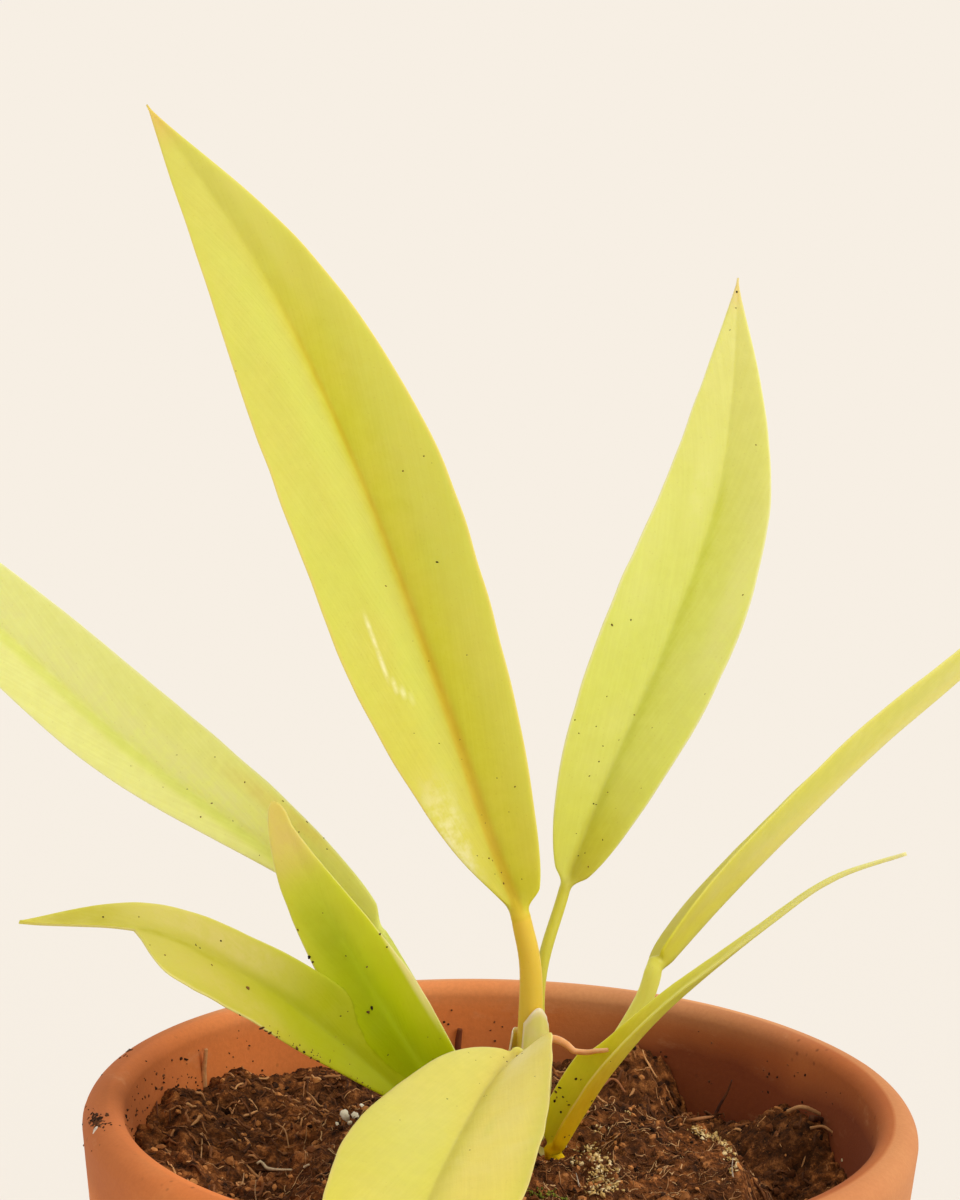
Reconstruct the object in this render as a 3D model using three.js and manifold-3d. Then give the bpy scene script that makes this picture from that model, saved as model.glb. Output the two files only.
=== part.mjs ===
// Potted golden saw philodendron: a young plant with seven leaves in a 12 cm terracotta pot.
// Millimetres, +Z up, +X right, -Y towards the viewer. The origin is the middle of the pot's underside.
import * as THREE from 'three';
import { mergeVertices } from 'three/addons/utils/BufferGeometryUtils.js';
import Module from 'manifold-3d';

const wasm = await Module();
wasm.setup();

// Driving dimensions
const RIM_RADIUS = 60;
const POT_HEIGHT = 108;
const FOOT_RADIUS = 40;
const WALL = 6;
const FOOT_WALL = 3.5;
const COLLAR_HEIGHT = 27;
const COLLAR_STEP = 3;
const COLLAR_DRAFT = 0.085;
const OUTER_LIP = 3.2;
const INNER_LIP = 2.2;
const COVE = 3;
const CHAMFER = 1;
const FLOOR = 8;
const DRAIN_RADIUS = 8;
const POT_SEGMENTS = 60;
const GAP = 0.35;
const BLADE_EDGE = 0.6;
const BLADE_THICKNESS = 0.9;

// Sizes that follow from them
const COLLAR_BASE = POT_HEIGHT - COLLAR_HEIGHT;
const COLLAR_RADIUS = RIM_RADIUS - COLLAR_HEIGHT * COLLAR_DRAFT;
const BODY_TOP_RADIUS = COLLAR_RADIUS - COLLAR_STEP;
const INSIDE_TOP = RIM_RADIUS - WALL;
const INSIDE_FLOOR = FOOT_RADIUS - FOOT_WALL;
const INSIDE_SLOPE = (INSIDE_TOP - INSIDE_FLOOR) / (POT_HEIGHT - INNER_LIP - FLOOR);

const vec = (x, y, z) => new THREE.Vector3(x, y, z);
const radians = THREE.MathUtils.degToRad;
const smooth = (low, high, value) => THREE.MathUtils.smoothstep(value, low, high);
const bell = (value) => Math.exp(-(value ** 2));

// Colours
const TERRACOTTA = new THREE.MeshStandardMaterial({ color: 0xc4693a, roughness: 0.85 });
const SOIL = new THREE.MeshStandardMaterial({ color: 0x3a2417, roughness: 1 });
const GOLD_LEAF = new THREE.MeshStandardMaterial({ color: 0xd3cf45, roughness: 0.4 });
const LIME_LEAF = new THREE.MeshStandardMaterial({ color: 0xc3cf4b, roughness: 0.4 });
const GREEN_LEAF = new THREE.MeshStandardMaterial({ color: 0x9fae1a, roughness: 0.4 });
const PALE_LEAF = new THREE.MeshStandardMaterial({ color: 0xe0d868, roughness: 0.5 });
const SHEATH = new THREE.MeshStandardMaterial({ color: 0xe6d3a0, roughness: 0.6 });
const ROOT = new THREE.MeshStandardMaterial({ color: 0xd98a5c, roughness: 0.6 });
const STEM = new THREE.MeshStandardMaterial({ color: 0x8a8f3a, roughness: 0.6 });

// A geometry with only positions, its shared vertices merged
function merged(geometry) {
  geometry.deleteAttribute('normal');
  geometry.deleteAttribute('uv');
  return mergeVertices(geometry, 1e-4);
}

function solidOf(geometry) {
  const vertProperties = new Float32Array(geometry.attributes.position.array);
  const triVerts = new Uint32Array(geometry.index.array);
  return new wasm.Manifold(new wasm.Mesh({ numProp: 3, vertProperties, triVerts }));
}

function geometryOf(solid) {
  const mesh = solid.getMesh();
  const geometry = new THREE.BufferGeometry();
  geometry.setAttribute('position', new THREE.BufferAttribute(mesh.vertProperties, 3));
  geometry.setIndex(new THREE.BufferAttribute(mesh.triVerts, 1));
  return geometry;
}

function named(name, geometry, material) {
  const mesh = new THREE.Mesh(geometry, material);
  mesh.name = name;
  return mesh;
}

// A closed skin over rings of equally many points, capped at both ends. Past the ring's middle the quads
// are split the other way, so that both faces of a thin blade have the same triangles.
function loft(rings) {
  const count = rings[0].length;
  const positions = rings.flat().flatMap((point) => point.toArray());
  const index = [];
  for (let i = 0; i < rings.length - 1; i++) {
    for (let j = 0; j < count; j++) {
      const a = i * count + j;
      const b = i * count + ((j + 1) % count);
      const c = b + count;
      const d = a + count;
      if (j < count / 2 - 1 || j === count - 1) index.push(a, b, c, a, c, d);
      else index.push(a, b, d, b, c, d);
    }
  }
  const capped = [[0, 1], [rings.length - 1, -1]];
  for (const [row, turn] of capped) {
    for (let j = 1; j < count - 1; j++) {
      const corners = [row * count, row * count + j + 1, row * count + j];
      if (turn < 0) corners.reverse();
      index.push(...corners);
    }
  }
  const geometry = new THREE.BufferGeometry();
  geometry.setAttribute('position', new THREE.Float32BufferAttribute(positions, 3));
  geometry.setIndex(index);
  return geometry;
}

// A smooth value through equally spaced stations, for t from 0 to 1
function along(stations, t) {
  const last = stations.length - 1;
  const place = Math.min(t * last, last - 1e-9);
  const i = Math.floor(place);
  const f = place - i;
  const p1 = stations[i];
  const p2 = stations[i + 1];
  const p0 = i > 0 ? stations[i - 1] : 2 * p1 - p2;
  const p3 = i + 2 <= last ? stations[i + 2] : 2 * p2 - p1;
  const cubic = -p0 + 3 * p1 - 3 * p2 + p3;
  return 0.5 * (2 * p1 + (p2 - p0) * f + (2 * p0 - 5 * p1 + 4 * p2 - p3) * f * f + cubic * f * f * f);
}

// Pot
const insideRadius = (z) => INSIDE_FLOOR + (z - FLOOR) * INSIDE_SLOPE;

// Points of a quarter round from the angle start to end about (r, z)
function rounded(r, z, radius, start, end, steps) {
  return Array.from({ length: steps + 1 }, (_, i) => {
    const angle = radians(start + ((end - start) * i) / steps);
    return [r + radius * Math.cos(angle), z + radius * Math.sin(angle)];
  });
}

// A profile of [r, z] pairs turned about the Z axis
function turned(profile, segments) {
  const geometry = new THREE.LatheGeometry(profile.map(([r, z]) => new THREE.Vector2(r, z)), segments);
  geometry.rotateX(Math.PI / 2);
  return geometry;
}

function pot() {
  return merged(turned([
    [DRAIN_RADIUS, 0],
    [FOOT_RADIUS - CHAMFER, 0],
    [FOOT_RADIUS, CHAMFER],
    [BODY_TOP_RADIUS, COLLAR_BASE - CHAMFER],
    [COLLAR_RADIUS - CHAMFER, COLLAR_BASE],
    [COLLAR_RADIUS, COLLAR_BASE + CHAMFER],
    ...rounded(RIM_RADIUS - OUTER_LIP, POT_HEIGHT - OUTER_LIP, OUTER_LIP, 0, 90, 5),
    ...rounded(INSIDE_TOP + INNER_LIP, POT_HEIGHT - INNER_LIP, INNER_LIP, 90, 180, 4),
    [insideRadius(FLOOR + COVE), FLOOR + COVE],
    [insideRadius(FLOOR) - COVE, FLOOR],
    [DRAIN_RADIUS, FLOOR],
    [DRAIN_RADIUS, 0],
  ], POT_SEGMENTS));
}

// Stem at the foot of the plant: a short stub with a domed top, which every leaf grows from
const CROWN = {
  x: 3.5, y: 4.5, z: 92, radius: 6, height: 8, foot: 84, footRadius: 4.5, steps: 6, segments: 20,
};

function crown(grow) {
  const profile = [[0, CROWN.foot - grow], [CROWN.footRadius + grow, CROWN.foot - grow]];
  for (let i = 0; i < CROWN.steps; i++) {
    const angle = (Math.PI / 2) * (i / CROWN.steps);
    const z = CROWN.z + (CROWN.height + grow) * Math.sin(angle);
    profile.push([(CROWN.radius + grow) * Math.cos(angle), z]);
  }
  profile.push([0, CROWN.z + CROWN.height + grow]);
  return merged(turned(profile, CROWN.segments).translate(CROWN.x, CROWN.y, 0));
}

// A point over the crown's dome, lifted off it along its normal
function overCrown(azimuth, elevation, lift) {
  const a = radians(azimuth);
  const e = radians(elevation);
  const spread = Math.cos(e);
  const point = vec(spread * Math.cos(a), spread * Math.sin(a), Math.sin(e));
  const normal = vec(point.x / CROWN.radius, point.y / CROWN.radius, point.z / CROWN.height).normalize();
  point.multiply(vec(CROWN.radius, CROWN.radius, CROWN.height));
  return point.add(vec(CROWN.x, CROWN.y, CROWN.z)).addScaledVector(normal, lift);
}

// Leaves. Each has a rib from blade base to tip and the way that its upper face looks at base, middle and
// tip. Each half, left and right, has a width and an outline: the place of its greatest width and the
// exponents (p, q) of 1 - x^p to the q towards base and tip. A half may end before the tip, and leaves a
// strip of the width tipStrip there, and least is the least width of a half with a blunt tip. fold and curl
// are the degrees that a half rises at the rib and gains out to its edge, and a half may have its own fold.
// sweep moves the edge along the rib, backwards where it is negative. The blade has come out of the stem's
// round section at t = open.
const TALL = {
  name: 'leaf_tall',
  material: GOLD_LEAF,
  stem: { azimuth: 70, elevation: 82, via: [vec(3.9, 6.1, 115), vec(3.7, 6.1, 126)], radius: 1.45, flare: 0.5 },
  rib: [vec(2.1, 6, 133.6), vec(-3, 7, 146), vec(-9.5, 10, 163.5), vec(-23, 16, 196),
    vec(-37.5, 22, 223.5), vec(-55, 29, 246.5)],
  face: [vec(0.05, -1, 0.1), vec(0.05, -1, 0.15), vec(0.1, -1, 0.3)],
  left: { width: 12.7, peak: 0.42, base: [2.3, 1.05], tip: [2.4, 1.1] },
  right: { width: 12.6, peak: 0.5, base: [1.5, 0.45], tip: [1.6, 1.15] },
  fold: [12, 16, 10], curl: [10, 6, 0], sweep: [-0.15, 0, 0], open: 0.03, columns: 4, rows: 20,
};
const RIGHT = {
  name: 'leaf_right',
  material: LIME_LEAF,
  stem: { azimuth: 68, elevation: 35, via: [vec(6.2, 11, 103), vec(5.1, 12, 121.6)], radius: 0.85, flare: 0.2 },
  rib: [vec(8.4, 18, 134.5), vec(14.3, 21.5, 151), vec(22.3, 27, 170), vec(28.8, 33, 189),
    vec(31, 38, 204.5), vec(31.6, 45, 221.7)],
  face: [vec(0, -1, 0.2), vec(0.1, -1, 0.2), vec(0.2, -1, 0.2)],
  left: { width: 10.7, peak: 0.42, base: [1.8, 0.66], tip: [2, 1.15] },
  right: { width: 9.7, peak: 0.45, base: [2, 0.62], tip: [1.9, 1.2] },
  fold: [20, 16, 8], curl: [5, 5, 0], sweep: [0, 0, 0], open: 0.03, columns: 3, rows: 18,
};
const FAR_LEFT = {
  name: 'leaf_far_left',
  material: LIME_LEAF,
  stem: {
    azimuth: 150, elevation: 40, via: [vec(-4.8, 7.6, 106), vec(-10.7, 8, 117.2)], radius: 1.1, flare: 0.15,
  },
  rib: [vec(-18, 8.8, 129.3), vec(-35, 14, 140.8), vec(-55, 20, 153.5), vec(-71, 25, 166),
    vec(-92, 33, 182), vec(-112, 43, 196)],
  face: [vec(-0.3, -0.9, 0.5), vec(-0.4, -0.9, 0.5), vec(-0.4, -0.8, 0.6)],
  left: { width: 6.8, peak: 0.5, base: [1.8, 1.4], tip: [2.2, 1] },
  right: { width: 9.5, peak: 0.38, base: [1.3, 0.42], tip: [1.8, 1] },
  fold: [20, 14, 8], curl: [5, 5, 0], sweep: [0, 0, 0], open: 0.03, columns: 3, rows: 18,
};
const BLUNT_LOBE = {
  stem: { azimuth: 188, elevation: 25, via: [vec(-5.4, 2.8, 98.6)], radius: 1.6, flare: 0.15 },
  rib: [vec(-6, 2.4, 104), vec(-12.6, 1.5, 113.6), vec(-18.4, 1.9, 122.5), vec(-24.2, 3.2, 131.6),
    vec(-29.6, 5.6, 140.2), vec(-34.2, 8.4, 149.2)],
  face: [vec(0.5, -0.75, 0.4), vec(0.45, -0.8, 0.4), vec(0.2, -0.9, 0.3), vec(0.1, -0.95, 0.3)],
  left: { width: 5.9, peak: 0.4, base: [2.2, 0.4], tip: [1.7, 0.6], least: 1, fold: [-26, -17, 5] },
  right: { width: 6.2, peak: 0.36, base: [2.2, 0.4], tip: [1.5, 0.95], least: 1.3, fold: [12, 10, 6] },
  curl: [4, 6, 0], sweep: [0, 0, 0], open: 0.1, columns: 3, rows: 14,
};
const LOW_LOBE = {
  stem: { azimuth: 193, elevation: 23, via: [vec(-5.6, 2.3, 98.3)], radius: 1.45, flare: 0.1 },
  rib: [vec(-8.5, 0.6, 104), vec(-23, -1.6, 116.6), vec(-36, -5.6, 127.1), vec(-50, -12.5, 136.2),
    vec(-67, -20, 138.7)],
  face: [vec(-0.38, -0.7, 0.65), vec(-0.3, -0.62, 0.75), vec(-0.1, -0.6, 0.85), vec(0, -0.5, 0.9)],
  left: {
    width: 10.2, peak: 0.86, base: [1.2, 0.93], tip: [4, 0.6], end: 0.77, tipStrip: 3.6, fold: [26, 14, 5],
  },
  right: { width: 6.4, peak: 0.28, base: [2.2, 0.5], tip: [2, 0.85], fold: [-6, 8, 5] },
  curl: [2, 5, 0], sweep: [0, 0, 0], open: 0.1, columns: 3, rows: 20,
};
const FRONT = {
  name: 'leaf_front',
  material: PALE_LEAF,
  stem: {
    azimuth: -95, elevation: 42, via: [vec(3, -0.9, 106), vec(2.9, -1.4, 112)], radius: 1.15, flare: 0.4,
  },
  rib: [vec(2.2, -3, 116), vec(-1, -11, 115.5), vec(-4.5, -24, 113.7), vec(-9, -50, 112.2),
    vec(-13, -70, 106.5), vec(-16, -86, 93)],
  face: [vec(0, -0.1, 1), vec(0, -0.05, 1), vec(0, -0.4, 1)],
  left: { width: 13.3, peak: 0.45, base: [2.6, 0.42], tip: [2.2, 1], fold: [48, 12, 8] },
  right: { width: 13.8, peak: 0.45, base: [1.6, 0.65], tip: [2.2, 1], fold: [20, 12, 8] },
  curl: [0, 0, 0], sweep: [-0.4, 0, 0], open: 0.02, columns: 4, rows: 20,
};
const FAR_RIGHT = {
  name: 'leaf_far_right',
  material: LIME_LEAF,
  stem: {
    azimuth: 32, elevation: 28, via: [vec(9.4, 9.4, 104), vec(15.6, 11, 111.5), vec(20.3, 11.8, 119.8)],
    radius: 1.3, flare: 0.15,
  },
  rib: [vec(21.9, 12, 125.3), vec(31.7, 22, 133.5), vec(43.6, 32, 143.1), vec(55.4, 41, 152.3),
    vec(68, 50, 161), vec(92, 68, 178), vec(112, 86, 188)],
  face: [vec(-0.65, 0.2, 0.7), vec(-0.7, 0.22, 0.7), vec(-0.5, 0, 0.85)],
  left: { width: 7.9, peak: 0.4, base: [2.2, 0.5], tip: [2.4, 1] },
  right: { width: 8.4, peak: 0.4, base: [2.2, 0.55], tip: [2.4, 1] },
  fold: [24, 18, 10], curl: [10, 8, 0], sweep: [-0.6, 0, 0], open: 0.02, columns: 3, rows: 18,
};
const STRAP = {
  name: 'leaf_strap',
  material: GREEN_LEAF,
  stem: { azimuth: -30, elevation: 30, via: [], radius: 1.2, flare: 0.15 },
  rib: [vec(7.4, 1, 100), vec(11.2, 1, 106.8), vec(15.5, 0.5, 113.8), vec(23.5, -0.5, 123.7),
    vec(38, -2, 137.3), vec(46.2, -3, 143.7), vec(56, -4, 147.7)],
  face: [vec(-0.75, -0.2, 0.6), vec(-0.65, -0.25, 0.7), vec(-0.5, -0.3, 0.8)],
  left: { width: 5, peak: 0.2, base: [3, 0.35], tip: [0.4, 1.1] },
  right: { width: 3, peak: 0.25, base: [2.5, 0.4], tip: [1, 1] },
  fold: [50, 34, 10], curl: [10, 5, 0], sweep: [0, 0, 0], open: 0.03, columns: 3, rows: 18,
};

// Width of one half of a blade at t
function halfWidth(half, t) {
  const end = half.end ?? 1;
  const u = Math.min(t / end, 1);
  const [p, q] = u < half.peak ? half.base : half.tip;
  const x = u < half.peak ? (half.peak - u) / half.peak : (u - half.peak) / (1 - half.peak);
  const width = half.width * Math.max(1 - x ** p, 0) ** q;
  const strip = (half.tipStrip ?? 0) * (1 - t) ** 0.7 * Math.min(1, 6 * t);
  return Math.max(width, strip, half.least ?? LEAST_WIDTH);
}

// A stem's rings, and how far it stands off the crown before it bends. Its foot is thicker by its flare.
// The blade's rows lie closer together towards its base, and a half is never narrower than LEAST_WIDTH.
const STEM_RINGS = 6;
const STEM_RISE = 2;
const ROW_POWER = 1.25;
const LEAST_WIDTH = 0.5;

// One closed skin over stem and blade; grow adds to it all round
function leaf(spec, grow = 0) {
  const stem = stemCurve(spec);
  const rib = smoothCurve(spec.rib);
  const rings = [];
  for (let i = 0; i < STEM_RINGS; i++) {
    const s = i / STEM_RINGS;
    const radius = spec.stem.radius * (1 + spec.stem.flare * (1 - s)) + grow;
    rings.push(roundRing(frameAt(spec, stem, s, 0), radius, spec.columns));
  }
  for (let i = 0; i <= spec.rows; i++) {
    const t = (i / spec.rows) ** ROW_POWER;
    const frame = frameAt(spec, rib, t, t);
    const circle = roundRing(frame, spec.stem.radius + grow, spec.columns);
    const flat = bladeRing(spec, frame, t, grow);
    const share = smooth(0, spec.open, t);
    rings.push(circle.map((point, j) => point.lerp(flat[j], share)));
  }
  return loft(rings);
}

function smoothCurve(points) {
  return new THREE.CatmullRomCurve3(points, false, 'catmullrom', 0.5);
}

function stemCurve(spec) {
  const { azimuth, elevation, via } = spec.stem;
  const foot = [overCrown(azimuth, elevation, GAP), overCrown(azimuth, elevation, STEM_RISE)];
  return smoothCurve([...foot, ...via, spec.rib[0]]);
}

function frameAt(spec, curve, at, t) {
  const centre = curve.getPointAt(at);
  const ahead = curve.getTangentAt(at);
  const up = vec(...['x', 'y', 'z'].map((axis) => along(spec.face.map((face) => face[axis]), t)));
  up.addScaledVector(ahead, -up.dot(ahead)).normalize();
  const across = new THREE.Vector3().crossVectors(ahead, up);
  return { centre, ahead, up, across };
}

// Upper points run from the left edge to the right one, lower points back again. Each face takes ROUND_SPAN
// degrees of the round section, which leaves a short side between the two.
const ROUND_SPAN = 164;

function roundRing(frame, radius, side) {
  const ring = [];
  for (const first of [90 + ROUND_SPAN / 2, -90 + ROUND_SPAN / 2]) {
    for (let j = 0; j <= 2 * side; j++) {
      const angle = radians(first - (ROUND_SPAN * j) / (2 * side));
      const point = frame.centre.clone().addScaledVector(frame.across, radius * Math.cos(angle));
      ring.push(point.addScaledVector(frame.up, radius * Math.sin(angle)));
    }
  }
  return ring;
}

function bladeRing(spec, frame, t, grow) {
  const side = spec.columns;
  const curl = radians(along(spec.curl, t));
  const sweep = along(spec.sweep, t);
  const keel = spec.stem.radius * (1 - t) ** 1.5;
  const upper = [];
  const lower = [];
  for (const [half, sign] of [[spec.left, -1], [spec.right, 1]]) {
    const fold = radians(along(half.fold ?? spec.fold, t));
    const width = halfWidth(half, t) + grow;
    const ridge = Math.min(width / side, ribWidth(spec, t));
    let out = 0;
    let rise = 0;
    let before = 0;
    for (let k = sign < 0 ? 1 : 0; k <= side; k++) {
      const x = k === 0 ? 0 : ridge + ((width - ridge) * (k - 1)) / (side - 1);
      const slope = fold + (curl * (x + before)) / (2 * width);
      out += (x - before) * Math.cos(slope);
      rise += (x - before) * Math.sin(slope);
      before = x;
      const thickness = BLADE_THICKNESS + ((BLADE_EDGE - BLADE_THICKNESS) * x) / width;
      const centre = frame.centre.clone().addScaledVector(frame.across, sign * out);
      centre.addScaledVector(frame.up, rise).addScaledVector(frame.ahead, sweep * x);
      const normal = frame.up.clone().multiplyScalar(k === 0 ? 1 : Math.cos(slope));
      if (k > 0) normal.addScaledVector(frame.across, -sign * Math.sin(slope));
      upper.push(centre.clone().addScaledVector(normal, thickness / 2 + grow));
      lower.push(centre.clone().addScaledVector(normal, -thickness / 2 - grow - (k === 0 ? keel : 0)));
    }
    if (sign < 0) {
      upper.reverse();
      lower.reverse();
    }
  }
  return [...upper, ...lower.reverse()];
}

// Half width of the thick midrib, which tapers towards the tip
function ribWidth(spec, t) {
  return spec.stem.radius * (1.2 - 0.7 * t) + 0.3;
}

// Pale sheath that wraps the foot of the tall leaf's stem. Its opening, 2 * open degrees wide, lies opposite
// middle, and its edge is highest at the azimuth peak. inside gives its radius from its foot up.
const SHEATH_WRAP = {
  base: 100.6, inside: [2.4, 2.7, 2.75, 2.25], wall: 0.6, middle: 41.5, open: 26.5,
  height: 15.9, rise: 4.2, peak: -62, spread: 55, steps: 20, levels: 7,
};

function sheath() {
  const { base, inside, wall, middle, open, height, rise, peak, spread, steps, levels } = SHEATH_WRAP;
  const stem = stemCurve(TALL);
  const stations = Array.from({ length: 200 }, (_, i) => stem.getPointAt(i / 200));
  const axisAt = (z) => stations.find((point) => point.z >= z) ?? stations[stations.length - 1];
  const rings = [];
  for (let j = 0; j <= steps; j++) {
    const turn = -180 + open + ((360 - 2 * open) * j) / steps;
    const angle = radians(middle + turn);
    const top = height + rise * bell((middle + turn - peak) / spread);
    const ring = [];
    for (const outer of [false, true]) {
      for (let i = 0; i <= levels; i++) {
        const share = outer ? 1 - i / levels : i / levels;
        const z = base + top * share;
        const axis = axisAt(z);
        const r = along(inside, share) + (outer ? wall : 0);
        ring.push(vec(axis.x + r * Math.cos(angle), axis.y + r * Math.sin(angle), z));
      }
    }
    rings.push(ring);
  }
  return loft(rings);
}

// Thin aerial root that leaves the sheath and rests in the strap leaf's channel
const AERIAL_ROOT = {
  path: [vec(7, 4.75, 115.9), vec(8, 4, 116), vec(9.2, 3, 115.7), vec(10.2, 2.2, 115.1),
    vec(10.95, 2, 115), vec(12.3, 1.45, 115.15), vec(13.3, 1.05, 115.5), vec(14.3, 0.6, 115.75), vec(15.1, 0.25, 116)],
  up: vec(0, -0.3, 1), radius: 0.62, tipRadius: 0.35, rows: 18, columns: 2,
};

function aerialRoot() {
  const { path, up, radius, tipRadius, rows, columns } = AERIAL_ROOT;
  const curve = smoothCurve(path);
  const rings = [];
  for (let i = 0; i <= rows; i++) {
    const t = i / rows;
    const frame = frameAt({ face: [up, up] }, curve, t, t);
    rings.push(roundRing(frame, radius + (tipRadius - radius) * t, columns));
  }
  return loft(rings);
}

// Soil: a root ball that stands a little proud, and a lower, lumpy ring round it, which is highest at the
// azimuth bank and has a dent at the ball's foot. The crown stands in a small hollow. Out at the pot's wall
// the ring takes the heights of WALL_LINE, pairs of azimuth and height.
const ROOT_BALL = { x: 4, y: -8, radius: 34, edge: 3.5, top: 101 };
const RING = { low: 91.5, bank: 150, rise: 8, dent: 1.5, dentRadius: 42, dentWidth: 6, inner: 38, outer: 51 };
const HOLLOW = { depth: 2.6, radius: 9 };
const WALL_LINE = [
  [0, 92.5], [14, 93.2], [19, 95.2], [22, 97.8], [26, 99.2], [31, 98.9], [36, 96.2], [44, 93.7], [50, 92.3],
  [56, 92.5], [62, 99.8], [67, 100], [80, 97], [126, 97.2], [135, 98], [141, 100], [162, 100],
  [175, 100.2], [200, 97], [230, 96], [300, 96], [330, 94], [360, 92.5],
];
const SOIL_SEGMENTS = 60;
const SOIL_RINGS = 15;

function wallLine(x, y) {
  const azimuth = (THREE.MathUtils.radToDeg(Math.atan2(y, x)) + 360) % 360;
  const after = Math.max(WALL_LINE.findIndex(([angle]) => angle >= azimuth), 1);
  const [a0, z0] = WALL_LINE[after - 1];
  const [a1, z1] = WALL_LINE[after];
  return z0 + ((z1 - z0) * (azimuth - a0)) / (a1 - a0);
}

function soilHeight(x, y) {
  const distance = Math.hypot(x - ROOT_BALL.x, y - ROOT_BALL.y);
  const bank = 0.5 + 0.5 * Math.cos(Math.atan2(y, x) - radians(RING.bank));
  const ring = RING.low + RING.rise * bank;
  const line = (wallLine(x, y) - ring) * smooth(RING.inner, RING.outer, Math.hypot(x, y));
  const low = ring + line - RING.dent * bell((distance - RING.dentRadius) / RING.dentWidth);
  const ball = 1 - smooth(ROOT_BALL.radius - ROOT_BALL.edge, ROOT_BALL.radius + ROOT_BALL.edge, distance);
  const broad = 0.8 * Math.sin(0.33 * x + 1.3) * Math.sin(0.29 * y + 0.4);
  const narrow = 0.5 * Math.sin(0.47 * x - 0.41 * y);
  const hollow = HOLLOW.depth * bell(Math.hypot(x - CROWN.x, y - CROWN.y) / HOLLOW.radius);
  return low + (ROOT_BALL.top - low) * ball + broad + narrow - hollow;
}

// The soil's sides follow the pot's wall. Ring 0 is its underside's edge and ring 1 its edge at the top.
function soil() {
  const positions = [0, 0, FLOOR + GAP, 0, 0, soilHeight(0, 0)];
  const index = [];
  const ringStart = (ring) => 2 + ring * SOIL_SEGMENTS;
  for (let ring = 0; ring <= SOIL_RINGS; ring++) {
    for (let i = 0; i < SOIL_SEGMENTS; i++) {
      const angle = (2 * Math.PI * i) / SOIL_SEGMENTS;
      const [c, s] = [Math.cos(angle), Math.sin(angle)];
      const height = soilHeight(INSIDE_TOP * c, INSIDE_TOP * s);
      const wall = insideRadius(height) - GAP;
      const floor = insideRadius(FLOOR) - COVE - GAP;
      const r = ring === 0 ? floor : (wall * (SOIL_RINGS + 1 - ring)) / SOIL_RINGS;
      const z = ring === 0 ? FLOOR + GAP : ring === 1 ? height : soilHeight(r * c, r * s);
      positions.push(r * c, r * s, z);
    }
  }
  for (let i = 0; i < SOIL_SEGMENTS; i++) {
    const next = (i + 1) % SOIL_SEGMENTS;
    for (let ring = 0; ring < SOIL_RINGS; ring++) {
      const [a, b] = [ringStart(ring) + i, ringStart(ring) + next];
      index.push(a, b, b + SOIL_SEGMENTS, a, b + SOIL_SEGMENTS, a + SOIL_SEGMENTS);
    }
    index.push(0, ringStart(0) + next, ringStart(0) + i);
    index.push(1, ringStart(SOIL_RINGS) + i, ringStart(SOIL_RINGS) + next);
  }
  const geometry = new THREE.BufferGeometry();
  geometry.setAttribute('position', new THREE.Float32BufferAttribute(positions, 3));
  geometry.setIndex(index);
  return geometry;
}

// Everything that stands in the soil, a little larger than it is, cut out of it
function soilWithHoles(stems) {
  let block = solidOf(soil());
  for (const stem of stems) block = block.subtract(solidOf(stem));
  return geometryOf(block);
}

const singleLeaves = [TALL, RIGHT, FAR_LEFT, FRONT, FAR_RIGHT, STRAP];
const lobes = [BLUNT_LOBE, LOW_LOBE];
const standing = [crown(GAP), ...[...singleLeaves, ...lobes].map((spec) => leaf(spec, GAP))];
const twoLobed = solidOf(leaf(BLUNT_LOBE)).add(solidOf(leaf(LOW_LOBE)));

const group = new THREE.Group();
group.add(named('pot', pot(), TERRACOTTA));
group.add(named('soil', soilWithHoles(standing), SOIL));
group.add(named('crown_stem', crown(0), STEM));
for (const spec of singleLeaves) group.add(named(spec.name, leaf(spec), spec.material));
group.add(named('leaf_two_lobed', geometryOf(twoLobed), GREEN_LEAF));
group.add(named('stem_sheath', sheath(), SHEATH));
group.add(named('aerial_root', aerialRoot(), ROOT));

export default group;
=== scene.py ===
"""Dressed model of a young golden saw philodendron in a terracotta pot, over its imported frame."""
import math

import bmesh
import bpy
import numpy as np
from mathutils import Matrix, Vector
from mathutils.bvhtree import BVHTree


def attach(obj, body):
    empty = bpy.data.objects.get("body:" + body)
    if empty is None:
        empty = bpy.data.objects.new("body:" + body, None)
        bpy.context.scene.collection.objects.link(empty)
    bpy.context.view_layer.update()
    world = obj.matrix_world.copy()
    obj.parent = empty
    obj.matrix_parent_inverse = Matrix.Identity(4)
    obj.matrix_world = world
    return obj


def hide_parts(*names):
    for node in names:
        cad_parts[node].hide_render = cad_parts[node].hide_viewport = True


MM = 0.001
# About one turn, in radians
FULL_TURN = 6.28

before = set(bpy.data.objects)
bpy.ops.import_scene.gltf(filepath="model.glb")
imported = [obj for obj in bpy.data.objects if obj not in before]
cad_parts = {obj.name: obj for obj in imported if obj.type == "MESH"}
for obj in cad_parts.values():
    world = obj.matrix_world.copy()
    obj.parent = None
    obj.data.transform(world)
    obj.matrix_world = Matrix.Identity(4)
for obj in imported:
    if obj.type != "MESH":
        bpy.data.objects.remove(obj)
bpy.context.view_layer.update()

# Camera: the photo's viewing angle. The focal length is in pixels of a 960 x 1200 frame.
CAMERA_PLACE = Vector((0, -0.5657, 0.3059))
CAMERA_RIGHT = Vector((0.99952, 0.01467, 0.02658)).normalized()
CAMERA_UP = Vector((-0.02908, 0.21435, 0.97632)).normalized()
CAMERA_BACK = CAMERA_RIGHT.cross(CAMERA_UP).normalized()
FOCAL_PIXELS = 4137.0
FRAME_WIDTH = 960
FRAME_HEIGHT = 1200
SENSOR = 36.0


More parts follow.
